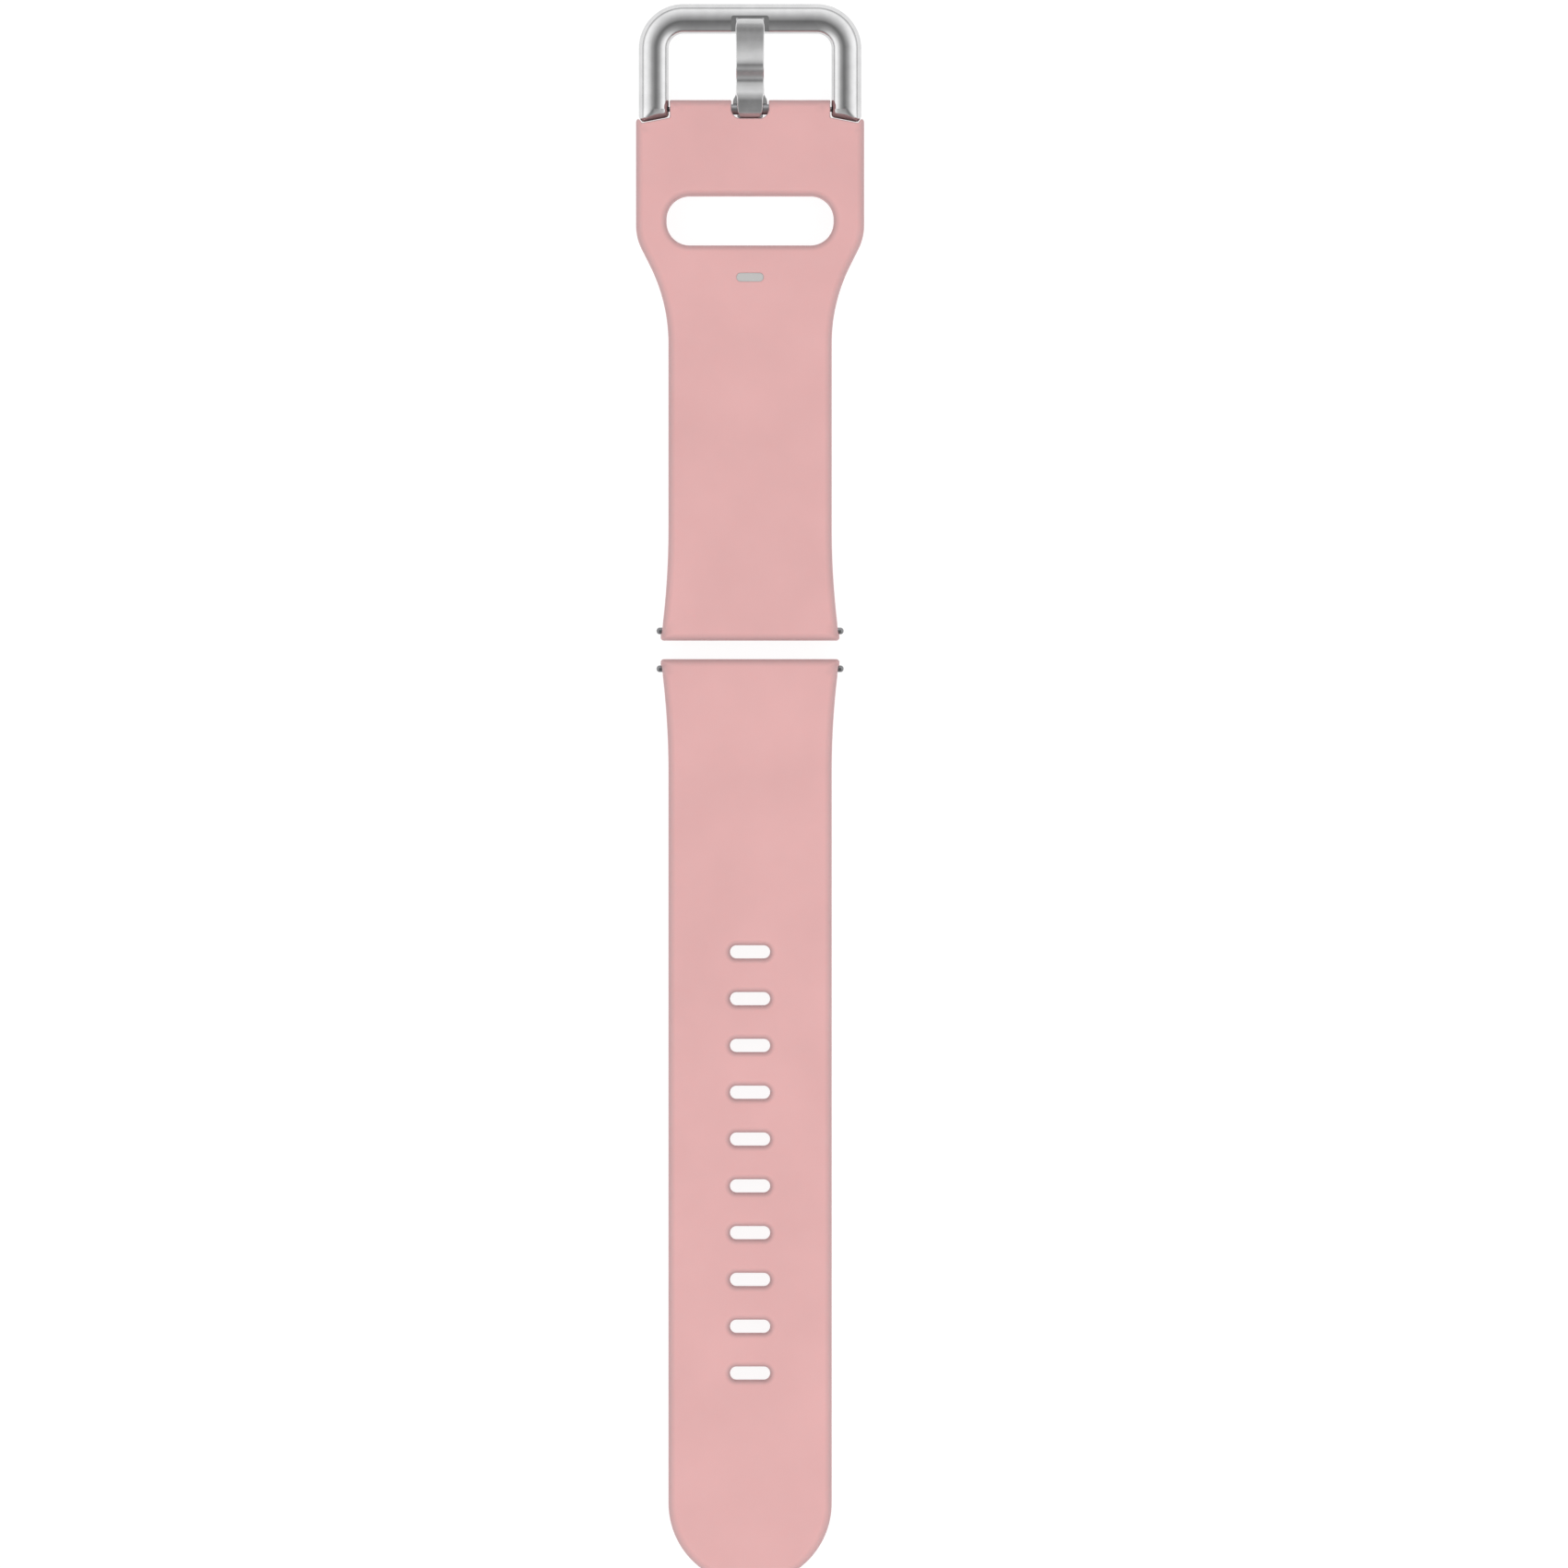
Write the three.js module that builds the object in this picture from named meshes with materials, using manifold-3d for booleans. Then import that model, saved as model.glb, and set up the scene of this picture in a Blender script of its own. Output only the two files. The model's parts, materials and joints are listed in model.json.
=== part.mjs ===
// Two-piece silicone band for a fitness tracker, laid flat.
//
// One half carries a polished bar buckle and a tuck slot, the other half is punched with size slots.
// Each half ends in a quick-release spring bar that snaps between the lugs of the tracker's case.
//
// Millimetres. +X runs across the band, +Y along it towards the buckle, +Z up and away from the wrist.
// The origin is the middle of the whole band, on the plane that its underside rests on.

import * as THREE from 'three';
import { mergeVertices } from 'three/addons/utils/BufferGeometryUtils.js';
import Module from 'manifold-3d';

// ---------------------------------------------------------------- driving dimensions

// whole band
const BAND_LENGTH = 175.6;
const BUCKLE_SIDE_LENGTH = 70.7; // buckle bar to lug end
const LUG_END_GAP = 2.1; // between the two lug ends, where the tracker's case goes
const BODY_HALF_WIDTH = 9.05; // 18 mm tail
const END_THICKNESS = 2.8; // at the buckle and at both lug ends
const BODY_THICKNESS = 2.2;
const TIP_THICKNESS = 2.0;
const EDGE_RADIUS = 0.8; // rounding of the strap ends, seen from the side
const THICK_END_LENGTH = 2.5; // how far a lug end keeps its full thickness

// flare and lip at the 20 mm lugs
const FLARE_LENGTH = 13;
const FLARE_RADIUS = 100;
const LIP_HALF_WIDTH = 9.92;
const LIP_LENGTH = 0.6;
const LIP_CORNER = 0.35;
const LIP_STEP = 0.15; // length of the step from the flare out to the lip

// head of the buckle side
const HEAD_HALF_WIDTH = 12.65;
const HEAD_LENGTH = 24.6; // buckle bar to where the head starts to narrow
const HEAD_ANGLE = THREE.MathUtils.degToRad(26.6);
const SHOULDER_RADIUS = 5.8;
const WAIST_RADIUS = 19.2;
const THICK_HEAD_LENGTH = 2; // how far past its end the head keeps its full thickness
const TUCK_SLOT_WIDTH = 18.6;
const TUCK_SLOT_HEIGHT = 5.5;
const TUCK_SLOT_CORNER = 2.6;
const TUCK_SLOT_FROM_BAR = 24.1;

// buckle pivot and the pockets that its arms turn in
const PIVOT_FROM_BAR = 11.7;
const PIVOT_HEIGHT = END_THICKNESS / 2;
const BARREL_BEYOND_PIVOT = 1.0;
const BARREL_HALF_WIDTH = 8.9;
const POCKET_GAP = 0.13;
const POCKET_CORNER_GAP = 0.08; // beside the arm's outer corner
const POCKET_CHAMFER = 0.5; // length of the chamfer from the pocket up to the ear
const EAR_GAP = 0.1; // between the ear and the arm's outer side
const EAR_HEIGHT = 0.9; // how far below the pivot the ear beside each arm stops
const EAR_FALL = 0.3; // how much lower the ear's outer corner is

// size slots
const SIZE_SLOT_COUNT = 10;
const SIZE_SLOT_PITCH = 5.2;
const SIZE_SLOT_WIDTH = 4.5;
const SIZE_SLOT_HEIGHT = 1.5;
const SIZE_SLOT_CORNER = 0.74;
const FIRST_SIZE_SLOT = 32.5; // from the lug end

// buckle frame: one oval bar bent to a U
const BAR_HALF_WIDTH = 1.65;
const BAR_HALF_HEIGHT = 1.3;
const BUCKLE_HALF_WIDTH = 12.36;
const BUCKLE_BEND_RADIUS = 3.3; // of the bar's centre line
const ARM_END_INNER = 0.82; // arm end past the pivot, at the inner side
const ARM_END_SLOPE = 0.195; // extra length for each millimetre outwards
const ARM_CORNER = 0.45;
const ARM_CORNER_FALL = 0.495; // how much shorter the arm end gets across its corner
const ARM_HOLE_RADIUS = 0.33;
const ARM_HOLE_END = 10.4; // distance of its blind end from the middle
const SEAT_HALF_WIDTH = 2.1;
const SEAT_HEIGHT = 1.05; // above the pivot
const SEAT_LENGTH = 1.95; // from the bar's inner side

// tongue
const TONGUE_HALF_WIDTH = 1.6;
const TONGUE_TIP_HALF_WIDTH = 1.33;
const TONGUE_TIP_TAPER = 0.9;
const TONGUE_LENGTH = 10.15; // pivot to tip
const TONGUE_LOOP_RADIUS = 0.95;
const TONGUE_LOOP_HALF_LENGTH = 1.8;
const TONGUE_LOOP_CORNER = 0.85;
const TONGUE_SHOULDER_HEIGHTS = [-0.35, 0.2]; // lowest and highest, from the pivot
const TONGUE_TOP = [
  [0, 0.88], [2.2, 0.98], [4.3, 1.38], [6.2, 1.68], [8.0, 1.64], [9.0, 1.68], [9.7, 1.8], [10.15, 1.66],
];
const TONGUE_UNDERSIDE = [
  [10.15, 1.1], [8.7, 1.1], [7.6, 0.94], [6.2, 0.98], [4.3, 0.7], [2.2, 0.32], [0, 0.2],
];
const TONGUE_SHOULDER_EDGE = [[1.58, 1.85], [1.88, 1.4], [1.88, 0.75], [1.58, 0.45]];
const NOTCH_HALF_WIDTH = 2.1;
const NOTCH_CORNER = 1.1;
const NOTCH_GAP = 0.12;

// spring bars
// a pin's shoulderLength is how much of it slides inside the tube at full thickness
const BUCKLE_TUBE = { radius: 0.6, inner: 0.42, mouth: 0.32, halfLength: 8.75 };
const BUCKLE_PIN = { radius: 0.28, shoulder: 0.38, shoulderLength: 0.9, reach: 10.25 };
const BUCKLE_SPRING_ENDS = [-7.5, 7.5];
const LUG_TUBE = { radius: 0.7, inner: 0.52, mouth: 0.42, halfLength: 9.5 };
const LUG_TIP = { radius: 0.38, shoulder: 0.48, shoulderLength: 1.0, reach: 10.4 };
const LUG_PLUNGER = { radius: 0.38, shoulder: 0.48, shoulderLength: 3.0, reach: 10.4 };
const LUG_SPRING_ENDS = [-8.1, 6.1];
const PILOT_LENGTH = 0.6;
const PILOT_RATIO = 0.5; // of the shoulder's radius
const PIN_NOSE = [[1, 0.6], [0.85, 0.25], [0.5, 0]]; // radius and setback, in pin radii
const PIN_GAP = 0.05; // between a pin's shoulder and the crimp
const TUBE_CHAMFER = 0.1;
const WIRE_RATIO = 0.12; // spring wire radius, of the tube's inner radius
const SPRING_GAP = 0.04; // between the spring and the tube
const BORE_GAP = 0.05;
const CRIMP_LENGTH = 0.2;
const LUG_AXIS_INSET = 1.05; // from the lug end
const KNOB_X = 7.2;
const KNOB_TRAVEL = 1.0;
const KNOB_STEM_RADIUS = 0.25;
const KNOB_STEM_TOP = 0.3; // above the bar's axis
const KNOB_HEAD_RADIUS = 0.5;
const KNOB_HEAD_HEIGHT = 0.3;
const KNOB_CHAMFER = 0.08;
const KNOB_HEIGHT = 0.2; // of its flat face above the underside
const KNOB_HOLE_TOP = 0.35; // above the bar's axis
const KNOB_HOLE_GAP = 0.03;
const KNOB_SLOT_END_GAP = 0.1;
const KNOB_SLOT_SIDE_GAP = 0.06;
const WINDOW_END_GAP = 0.2;
const WINDOW_HALF_WIDTH = 0.62;
const SPRING_TURNS = 11;

// facets
const ROUND_SIDES = 16;
const KNOB_SIDES = 12;
const ARM_END_SIDES = 24;
const WIRE_SIDES = 5;
const ARC_STEPS = 6;
const EDGE_STEPS = 4;
const TIP_STEPS = 14;
const TURN_STEPS = 8; // along one turn of a spring
const BAR_STEPS = 52;
const BAR_SECTION_STEPS = 10;
const TONGUE_TOP_STEPS = 20;
const TONGUE_UNDERSIDE_STEPS = 14;

// construction
const CLEAR = 1; // how far a cutter runs past what it cuts
const OVERLAP = 0.05; // how far joined solids run into each other
const QUARTER_PULL = 0.5523; // handle length that makes a cubic curve a quarter circle of radius 1
const FAR = 20; // past the buckle in any direction

// ---------------------------------------------------------------- places worked out from them

const buckleBarY = BAND_LENGTH / 2;
const upperLugY = buckleBarY - BUCKLE_SIDE_LENGTH;
const lowerLugY = upperLugY - LUG_END_GAP;
const tipY = -BAND_LENGTH / 2;
const pivotY = buckleBarY - PIVOT_FROM_BAR;
const upperPinY = upperLugY + LUG_AXIS_INSET;
const lowerPinY = lowerLugY - LUG_AXIS_INSET;

// ---------------------------------------------------------------- materials

const silicone = new THREE.MeshStandardMaterial({ color: 0xe5b2b1, roughness: 0.7, metalness: 0 });
const polishedSteel = new THREE.MeshStandardMaterial({ color: 0xd9d9db, roughness: 0.12, metalness: 1 });
const satinSteel = new THREE.MeshStandardMaterial({ color: 0xbcbcbe, roughness: 0.32, metalness: 1 });
const pinSteel = new THREE.MeshStandardMaterial({ color: 0x8e8f92, roughness: 0.3, metalness: 1 });
const springSteel = new THREE.MeshStandardMaterial({ color: 0xa5a6a8, roughness: 0.35, metalness: 1 });

// ---------------------------------------------------------------- solids

const wasm = await Module();
wasm.setup();

/** A solid that can be joined and cut, from a closed geometry. */
function solidOf(geometry) {
  geometry.deleteAttribute('normal');
  geometry.deleteAttribute('uv');
  const merged = mergeVertices(geometry, 1e-4);
  const corners = Array.from(merged.index.array);
  const triangles = [];
  for (let i = 0; i < corners.length; i += 3) {
    const [a, b, c] = corners.slice(i, i + 3);
    if (a !== b && b !== c && c !== a) triangles.push(a, b, c);
  }
  const vertProperties = new Float32Array(merged.attributes.position.array);
  return new wasm.Manifold(
    new wasm.Mesh({ numProp: 3, vertProperties, triVerts: new Uint32Array(triangles) }),
  );
}

/** The geometry of a finished solid. */
function geometryOf(solid) {
  const mesh = solid.getMesh();
  const geometry = new THREE.BufferGeometry();
  geometry.setAttribute('position', new THREE.BufferAttribute(mesh.vertProperties, 3));
  geometry.setIndex(new THREE.BufferAttribute(mesh.triVerts, 1));
  const flat = geometry.toNonIndexed();
  flat.computeVertexNormals();
  return flat;
}

/** A plan outline made into a plate from height low to height high. */
function plate(shape, low, high) {
  const geometry = new THREE.ExtrudeGeometry(shape, {
    depth: high - low,
    bevelEnabled: false,
    curveSegments: ARC_STEPS,
  });
  return solidOf(geometry.translate(0, 0, low));
}

/** A side view (y, z) made into a solid that runs across the band, halfWidth each way. */
function crossways(shape, halfWidth) {
  const geometry = new THREE.ExtrudeGeometry(shape, {
    depth: 2 * halfWidth,
    bevelEnabled: false,
    curveSegments: ARC_STEPS,
  });
  const sideways = new THREE.Matrix4().makeBasis(
    new THREE.Vector3(0, 1, 0),
    new THREE.Vector3(0, 0, 1),
    new THREE.Vector3(1, 0, 0),
  );
  return solidOf(geometry.applyMatrix4(sideways).translate(-halfWidth, 0, 0));
}

/** A block between two corners. */
function block(from, to) {
  const size = to.map((high, i) => high - from[i]);
  const middle = to.map((high, i) => (high + from[i]) / 2);
  return solidOf(new THREE.BoxGeometry(...size).translate(...middle));
}

/** A round rod along X. */
function rod(radius, fromX, toX, y = 0, z = 0) {
  const geometry = new THREE.CylinderGeometry(radius, radius, toX - fromX, ROUND_SIDES);
  geometry.rotateZ(-Math.PI / 2).translate((fromX + toX) / 2, y, z);
  return solidOf(geometry);
}

/** A turned piece about X, from [radius, x] corners in order of rising x. */
function turned(corners) {
  const profile = corners.map(([radius, x]) => new THREE.Vector2(radius, x));
  return solidOf(new THREE.LatheGeometry(profile, ROUND_SIDES).rotateZ(-Math.PI / 2));
}

/** Points on an arc, from one angle to another. */
function arc(x, y, radius, from, to, steps = ARC_STEPS) {
  const points = [];
  for (let i = 0; i <= steps; i += 1) {
    const angle = from + ((to - from) * i) / steps;
    points.push(new THREE.Vector2(x + radius * Math.cos(angle), y + radius * Math.sin(angle)));
  }
  return points;
}

/** Closes the right-hand edge of a symmetrical outline with its mirror image. */
function mirrored(rightEdge) {
  const offCentre = rightEdge.filter((p) => Math.abs(p.x) > 1e-6);
  const leftEdge = offCentre.map((p) => new THREE.Vector2(-p.x, p.y)).reverse();
  return new THREE.Shape([...rightEdge, ...leftEdge]);
}

/** An upright rounded slot cutter through the band. */
function slotCutter(width, height, corner, y) {
  const x = width / 2 - corner;
  const rise = height / 2 - corner;
  const edge = [
    ...arc(x, y + rise, corner, Math.PI / 2, 0),
    ...arc(x, y - rise, corner, 0, -Math.PI / 2),
  ];
  return plate(mirrored(edge), -CLEAR, END_THICKNESS + CLEAR);
}

// ---------------------------------------------------------------- straps

/** Right-hand edge near a lug: the flare, the relief where the pin comes out, and the lip. */
function lugEdge(lugY, inwards) {
  const points = [];
  for (let i = 0; i <= ARC_STEPS; i += 1) {
    const run = (i / ARC_STEPS) * (FLARE_LENGTH - LIP_LENGTH - LIP_STEP);
    const rise = FLARE_RADIUS - Math.sqrt(FLARE_RADIUS ** 2 - run ** 2);
    points.push([BODY_HALF_WIDTH + rise, FLARE_LENGTH - run]);
  }
  points.push([LIP_HALF_WIDTH, LIP_LENGTH]);
  for (const angle of [0, Math.PI / 4, Math.PI / 2]) {
    points.push([
      LIP_HALF_WIDTH - LIP_CORNER * (1 - Math.cos(angle)),
      LIP_CORNER * (1 - Math.sin(angle)),
    ]);
  }
  return points.map(([x, inset]) => new THREE.Vector2(x, lugY + inwards * inset));
}

/** Side view of a strap: [y, thickness] stations from its +Y end to its -Y end, ends rounded. */
function strapSide(stations) {
  const [firstY, firstZ] = stations[0];
  const [lastY, lastZ] = stations.at(-1);
  const r = EDGE_RADIUS;
  const quarter = Math.PI / 2;
  return new THREE.Shape([
    ...arc(firstY - r, r, r, -quarter, 0, EDGE_STEPS),
    ...arc(firstY - r, firstZ - r, r, 0, quarter, EDGE_STEPS),
    ...stations.slice(1, -1).map(([y, z]) => new THREE.Vector2(y, z)),
    ...arc(lastY + r, lastZ - r, r, quarter, 2 * quarter, EDGE_STEPS),
    ...arc(lastY + r, r, r, 2 * quarter, 3 * quarter, EDGE_STEPS),
  ]);
}

/** What a spring bar needs in a lug end: its bore, and a window under its release knob. */
function lugCutter(pinY) {
  const bore = rod(LUG_TUBE.radius + BORE_GAP, -HEAD_HALF_WIDTH, HEAD_HALF_WIDTH, pinY, PIVOT_HEIGHT);
  const play = KNOB_HEAD_RADIUS + WINDOW_END_GAP;
  const window = block(
    [KNOB_X - KNOB_TRAVEL - play, pinY - WINDOW_HALF_WIDTH, -CLEAR],
    [KNOB_X + play, pinY + WINDOW_HALF_WIDTH, PIVOT_HEIGHT],
  );
  return bore.add(window);
}

/** Buckle side: wide head with arm pockets, tongue notch and tuck slot, waisted to the body. */
function buckleStrap() {
  const barrelEndY = pivotY + BARREL_BEYOND_PIVOT;
  const pocketY = (x) =>
    pivotY - ARM_END_INNER - POCKET_GAP - ARM_END_SLOPE * (x - BARREL_HALF_WIDTH);
  const pocketCornerX = BUCKLE_HALF_WIDTH - ARM_CORNER + POCKET_CORNER_GAP;
  const earX = BUCKLE_HALF_WIDTH + EAR_GAP;
  const headEndY = buckleBarY - HEAD_LENGTH;
  const shoulder = arc(HEAD_HALF_WIDTH - SHOULDER_RADIUS, headEndY, SHOULDER_RADIUS, 0, -HEAD_ANGLE);
  const waistTopX = BODY_HALF_WIDTH + WAIST_RADIUS * (1 - Math.cos(HEAD_ANGLE));
  const slope = (shoulder.at(-1).x - waistTopX) / Math.tan(HEAD_ANGLE);
  const waistY = shoulder.at(-1).y - slope - WAIST_RADIUS * Math.sin(HEAD_ANGLE);
  const waist = arc(
    BODY_HALF_WIDTH + WAIST_RADIUS, waistY, WAIST_RADIUS, Math.PI - HEAD_ANGLE, Math.PI,
  );
  const rightEdge = [
    new THREE.Vector2(BARREL_HALF_WIDTH, barrelEndY),
    new THREE.Vector2(BARREL_HALF_WIDTH, pocketY(BARREL_HALF_WIDTH)),
    new THREE.Vector2(pocketCornerX, pocketY(pocketCornerX)),
    new THREE.Vector2(earX, pocketY(pocketCornerX) + POCKET_CHAMFER),
    new THREE.Vector2(earX, pivotY - EAR_HEIGHT),
    new THREE.Vector2(HEAD_HALF_WIDTH, pivotY - EAR_HEIGHT - EAR_FALL),
    ...shoulder,
    ...waist,
    ...lugEdge(upperLugY, 1),
  ];
  const notchEndY = pivotY - TONGUE_LOOP_RADIUS - NOTCH_GAP;
  const notchEdge = [
    new THREE.Vector2(NOTCH_HALF_WIDTH, barrelEndY + CLEAR),
    ...arc(
      NOTCH_HALF_WIDTH - NOTCH_CORNER, notchEndY + NOTCH_CORNER, NOTCH_CORNER, 0, -Math.PI / 2,
    ),
  ];
  const side = strapSide([
    [barrelEndY, END_THICKNESS],
    [headEndY - THICK_HEAD_LENGTH, END_THICKNESS],
    [waistY, BODY_THICKNESS],
    [upperLugY + FLARE_LENGTH, BODY_THICKNESS],
    [upperLugY + THICK_END_LENGTH, END_THICKNESS],
    [upperLugY, END_THICKNESS],
  ]);
  const notch = plate(mirrored(notchEdge), -CLEAR, END_THICKNESS + CLEAR);
  const tuckSlotY = buckleBarY - TUCK_SLOT_FROM_BAR;
  const tuckSlot = slotCutter(TUCK_SLOT_WIDTH, TUCK_SLOT_HEIGHT, TUCK_SLOT_CORNER, tuckSlotY);
  const boreRadius = BUCKLE_TUBE.radius + BORE_GAP;
  return plate(mirrored(rightEdge), 0, END_THICKNESS)
    .intersect(crossways(side, HEAD_HALF_WIDTH + CLEAR))
    .subtract(notch)
    .subtract(tuckSlot)
    .subtract(rod(boreRadius, -HEAD_HALF_WIDTH, HEAD_HALF_WIDTH, pivotY, PIVOT_HEIGHT))
    .subtract(lugCutter(upperPinY));
}

/** Hole side: straight tail with a half-round tip and a row of size slots. */
function holeStrap() {
  const tipCentreY = tipY + BODY_HALF_WIDTH;
  const lugToTip = lugEdge(lowerLugY, -1).reverse();
  const tip = arc(0, tipCentreY, BODY_HALF_WIDTH, 0, -Math.PI / 2, TIP_STEPS);
  const side = strapSide([
    [lowerLugY, END_THICKNESS],
    [lowerLugY - THICK_END_LENGTH, END_THICKNESS],
    [lowerLugY - FLARE_LENGTH, BODY_THICKNESS],
    [tipCentreY, BODY_THICKNESS],
    [tipY, TIP_THICKNESS],
  ]);
  let strap = plate(mirrored([...lugToTip, ...tip]), 0, END_THICKNESS)
    .intersect(crossways(side, HEAD_HALF_WIDTH))
    .subtract(lugCutter(lowerPinY));
  for (let i = 0; i < SIZE_SLOT_COUNT; i += 1) {
    const y = lowerLugY - FIRST_SIZE_SLOT - i * SIZE_SLOT_PITCH;
    strap = strap.subtract(slotCutter(SIZE_SLOT_WIDTH, SIZE_SLOT_HEIGHT, SIZE_SLOT_CORNER, y));
  }
  return strap;
}

// ---------------------------------------------------------------- buckle, about its pivot

/** Oval bar bent to a U, arm ends rounded about the pivot, with blind pin holes and a tongue seat. */
function buckleFrame() {
  const armX = BUCKLE_HALF_WIDTH - BAR_HALF_WIDTH;
  const barY = PIVOT_FROM_BAR - BAR_HALF_WIDTH;
  const bendX = armX - BUCKLE_BEND_RADIUS;
  const bendY = barY - BUCKLE_BEND_RADIUS;
  const pull = QUARTER_PULL * BUCKLE_BEND_RADIUS;
  const endY = -2 * ARM_END_INNER; // the bar is made too long, then cut back to the arm ends
  const at = (x, y) => new THREE.Vector3(x, y, 0);
  const path = new THREE.CurvePath();
  path.add(new THREE.LineCurve3(at(armX, endY), at(armX, bendY)));
  path.add(
    new THREE.CubicBezierCurve3(
      at(armX, bendY), at(armX, bendY + pull), at(bendX + pull, barY), at(bendX, barY),
    ),
  );
  path.add(new THREE.LineCurve3(at(bendX, barY), at(-bendX, barY)));
  path.add(
    new THREE.CubicBezierCurve3(
      at(-bendX, barY), at(-bendX - pull, barY), at(-armX, bendY + pull), at(-armX, bendY),
    ),
  );
  path.add(new THREE.LineCurve3(at(-armX, bendY), at(-armX, endY)));
  const section = new THREE.Shape();
  section.absellipse(0, 0, BAR_HALF_HEIGHT, BAR_HALF_WIDTH, 0, 2 * Math.PI, false, 0);
  const bar = solidOf(
    new THREE.ExtrudeGeometry(section, {
      steps: BAR_STEPS,
      curveSegments: BAR_SECTION_STEPS,
      bevelEnabled: false,
      extrudePath: path,
    }),
  );
  const keep = block([-FAR, 0, -FAR], [FAR, FAR, FAR]);
  const frame = bar.intersect(keep.add(armEnd(1)).add(armEnd(-1)));
  const innerY = PIVOT_FROM_BAR - 2 * BAR_HALF_WIDTH;
  const seat = block(
    [-SEAT_HALF_WIDTH, innerY - CLEAR, SEAT_HEIGHT],
    [SEAT_HALF_WIDTH, innerY + SEAT_LENGTH, BAR_HALF_HEIGHT + CLEAR],
  );
  return frame
    .subtract(seat)
    .subtract(rod(ARM_HOLE_RADIUS, BARREL_HALF_WIDTH - CLEAR, ARM_HOLE_END))
    .subtract(rod(ARM_HOLE_RADIUS, -ARM_HOLE_END, CLEAR - BARREL_HALF_WIDTH));
}

/** The oval cone that rounds off one arm's end, with its outer corner taken off. */
function armEnd(side) {
  const innerX = BUCKLE_HALF_WIDTH - 2 * BAR_HALF_WIDTH - 2 * OVERLAP;
  const chamferX = BUCKLE_HALF_WIDTH - ARM_CORNER;
  const reach = (x) => ARM_END_INNER + ARM_END_SLOPE * (x - innerX);
  const wide = reach(chamferX);
  const length = ARM_CORNER + OVERLAP;
  const cone = new THREE.CylinderGeometry(wide, reach(innerX), chamferX - innerX, ARM_END_SIDES);
  const corner = new THREE.CylinderGeometry(wide - ARM_CORNER_FALL, wide, length, ARM_END_SIDES);
  const swell = BAR_HALF_HEIGHT / reach(BUCKLE_HALF_WIDTH - BAR_HALF_WIDTH);
  const pieces = [
    [cone, (innerX + chamferX) / 2],
    [corner, chamferX + length / 2],
  ].map(([geometry, x]) => {
    geometry.rotateZ(-side * (Math.PI / 2)).scale(1, 1, swell).translate(side * x, 0, 0);
    return solidOf(geometry);
  });
  return pieces[0].add(pieces[1]);
}

/** Pressed-steel tongue: a loop round the spring bar, shoulders, and a waved blade to the seat. */
function buckleTongue() {
  const places = (corners) => corners.map(([x, y]) => new THREE.Vector2(x, y));
  const top = new THREE.SplineCurve(places(TONGUE_TOP)).getPoints(TONGUE_TOP_STEPS);
  const bottom = new THREE.SplineCurve(places(TONGUE_UNDERSIDE)).getPoints(TONGUE_UNDERSIDE_STEPS);
  const blade = crossways(new THREE.Shape([...top, ...bottom].reverse()), TONGUE_HALF_WIDTH);
  const bladeEdge = places([
    [TONGUE_TIP_HALF_WIDTH, TONGUE_LENGTH],
    [TONGUE_HALF_WIDTH, TONGUE_LENGTH - TONGUE_TIP_TAPER],
    [TONGUE_HALF_WIDTH, -CLEAR],
  ]);
  const plan = plate(mirrored(bladeEdge), -CLEAR, PIVOT_HEIGHT + CLEAR);
  const shoulders = plate(mirrored(places(TONGUE_SHOULDER_EDGE)), ...TONGUE_SHOULDER_HEIGHTS);
  const reach = TONGUE_LOOP_HALF_LENGTH + CLEAR;
  const straight = TONGUE_LOOP_HALF_LENGTH - TONGUE_LOOP_CORNER;
  const rise = TONGUE_LOOP_RADIUS - TONGUE_LOOP_CORNER;
  const loop = turned([
    [0, -TONGUE_LOOP_HALF_LENGTH],
    ...arc(-straight, rise, TONGUE_LOOP_CORNER, Math.PI, Math.PI / 2).map((p) => [p.y, p.x]),
    ...arc(straight, rise, TONGUE_LOOP_CORNER, Math.PI / 2, 0).map((p) => [p.y, p.x]),
    [0, TONGUE_LOOP_HALF_LENGTH],
  ]);
  return blade
    .intersect(plan)
    .add(shoulders)
    .add(loop)
    .subtract(rod(BUCKLE_TUBE.radius + BORE_GAP, -reach, reach));
}

// ---------------------------------------------------------------- spring bars, about their axis

/** Drawn tube with its ends crimped in, from one mouth to the other. */
function barTube({ radius, inner, mouth, halfLength }) {
  const seat = halfLength - CRIMP_LENGTH;
  return turned([
    [mouth, -halfLength],
    [radius - TUBE_CHAMFER, -halfLength],
    [radius, -halfLength + TUBE_CHAMFER],
    [radius, halfLength - TUBE_CHAMFER],
    [radius - TUBE_CHAMFER, halfLength],
    [mouth, halfLength],
    [mouth, seat],
    [inner, seat],
    [inner, -seat],
    [mouth, -seat],
    [mouth, -halfLength],
  ]);
}

/** Turned pin that comes out at +X: a spring pilot, a shoulder inside the tube, and a round nose. */
function barPin({ radius, shoulder, shoulderLength, reach }, tube) {
  const seat = tube.halfLength - CRIMP_LENGTH - PIN_GAP;
  const back = seat - shoulderLength;
  const pilot = PILOT_RATIO * shoulder;
  return turned([
    [0, back - PILOT_LENGTH],
    [pilot, back - PILOT_LENGTH],
    [pilot, back],
    [shoulder, back],
    [shoulder, seat],
    [radius, seat],
    ...PIN_NOSE.map(([width, setback]) => [width * radius, reach - setback * radius]),
    [0, reach],
  ]);
}

/** A coil between two places along X. */
class Coil extends THREE.Curve {
  constructor(radius, fromX, toX) {
    super();
    Object.assign(this, { radius, fromX, toX });
  }

  getPoint(t, target = new THREE.Vector3()) {
    const angle = 2 * Math.PI * SPRING_TURNS * t;
    return target.set(
      this.fromX + (this.toX - this.fromX) * t,
      this.radius * Math.cos(angle),
      this.radius * Math.sin(angle),
    );
  }
}

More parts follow.
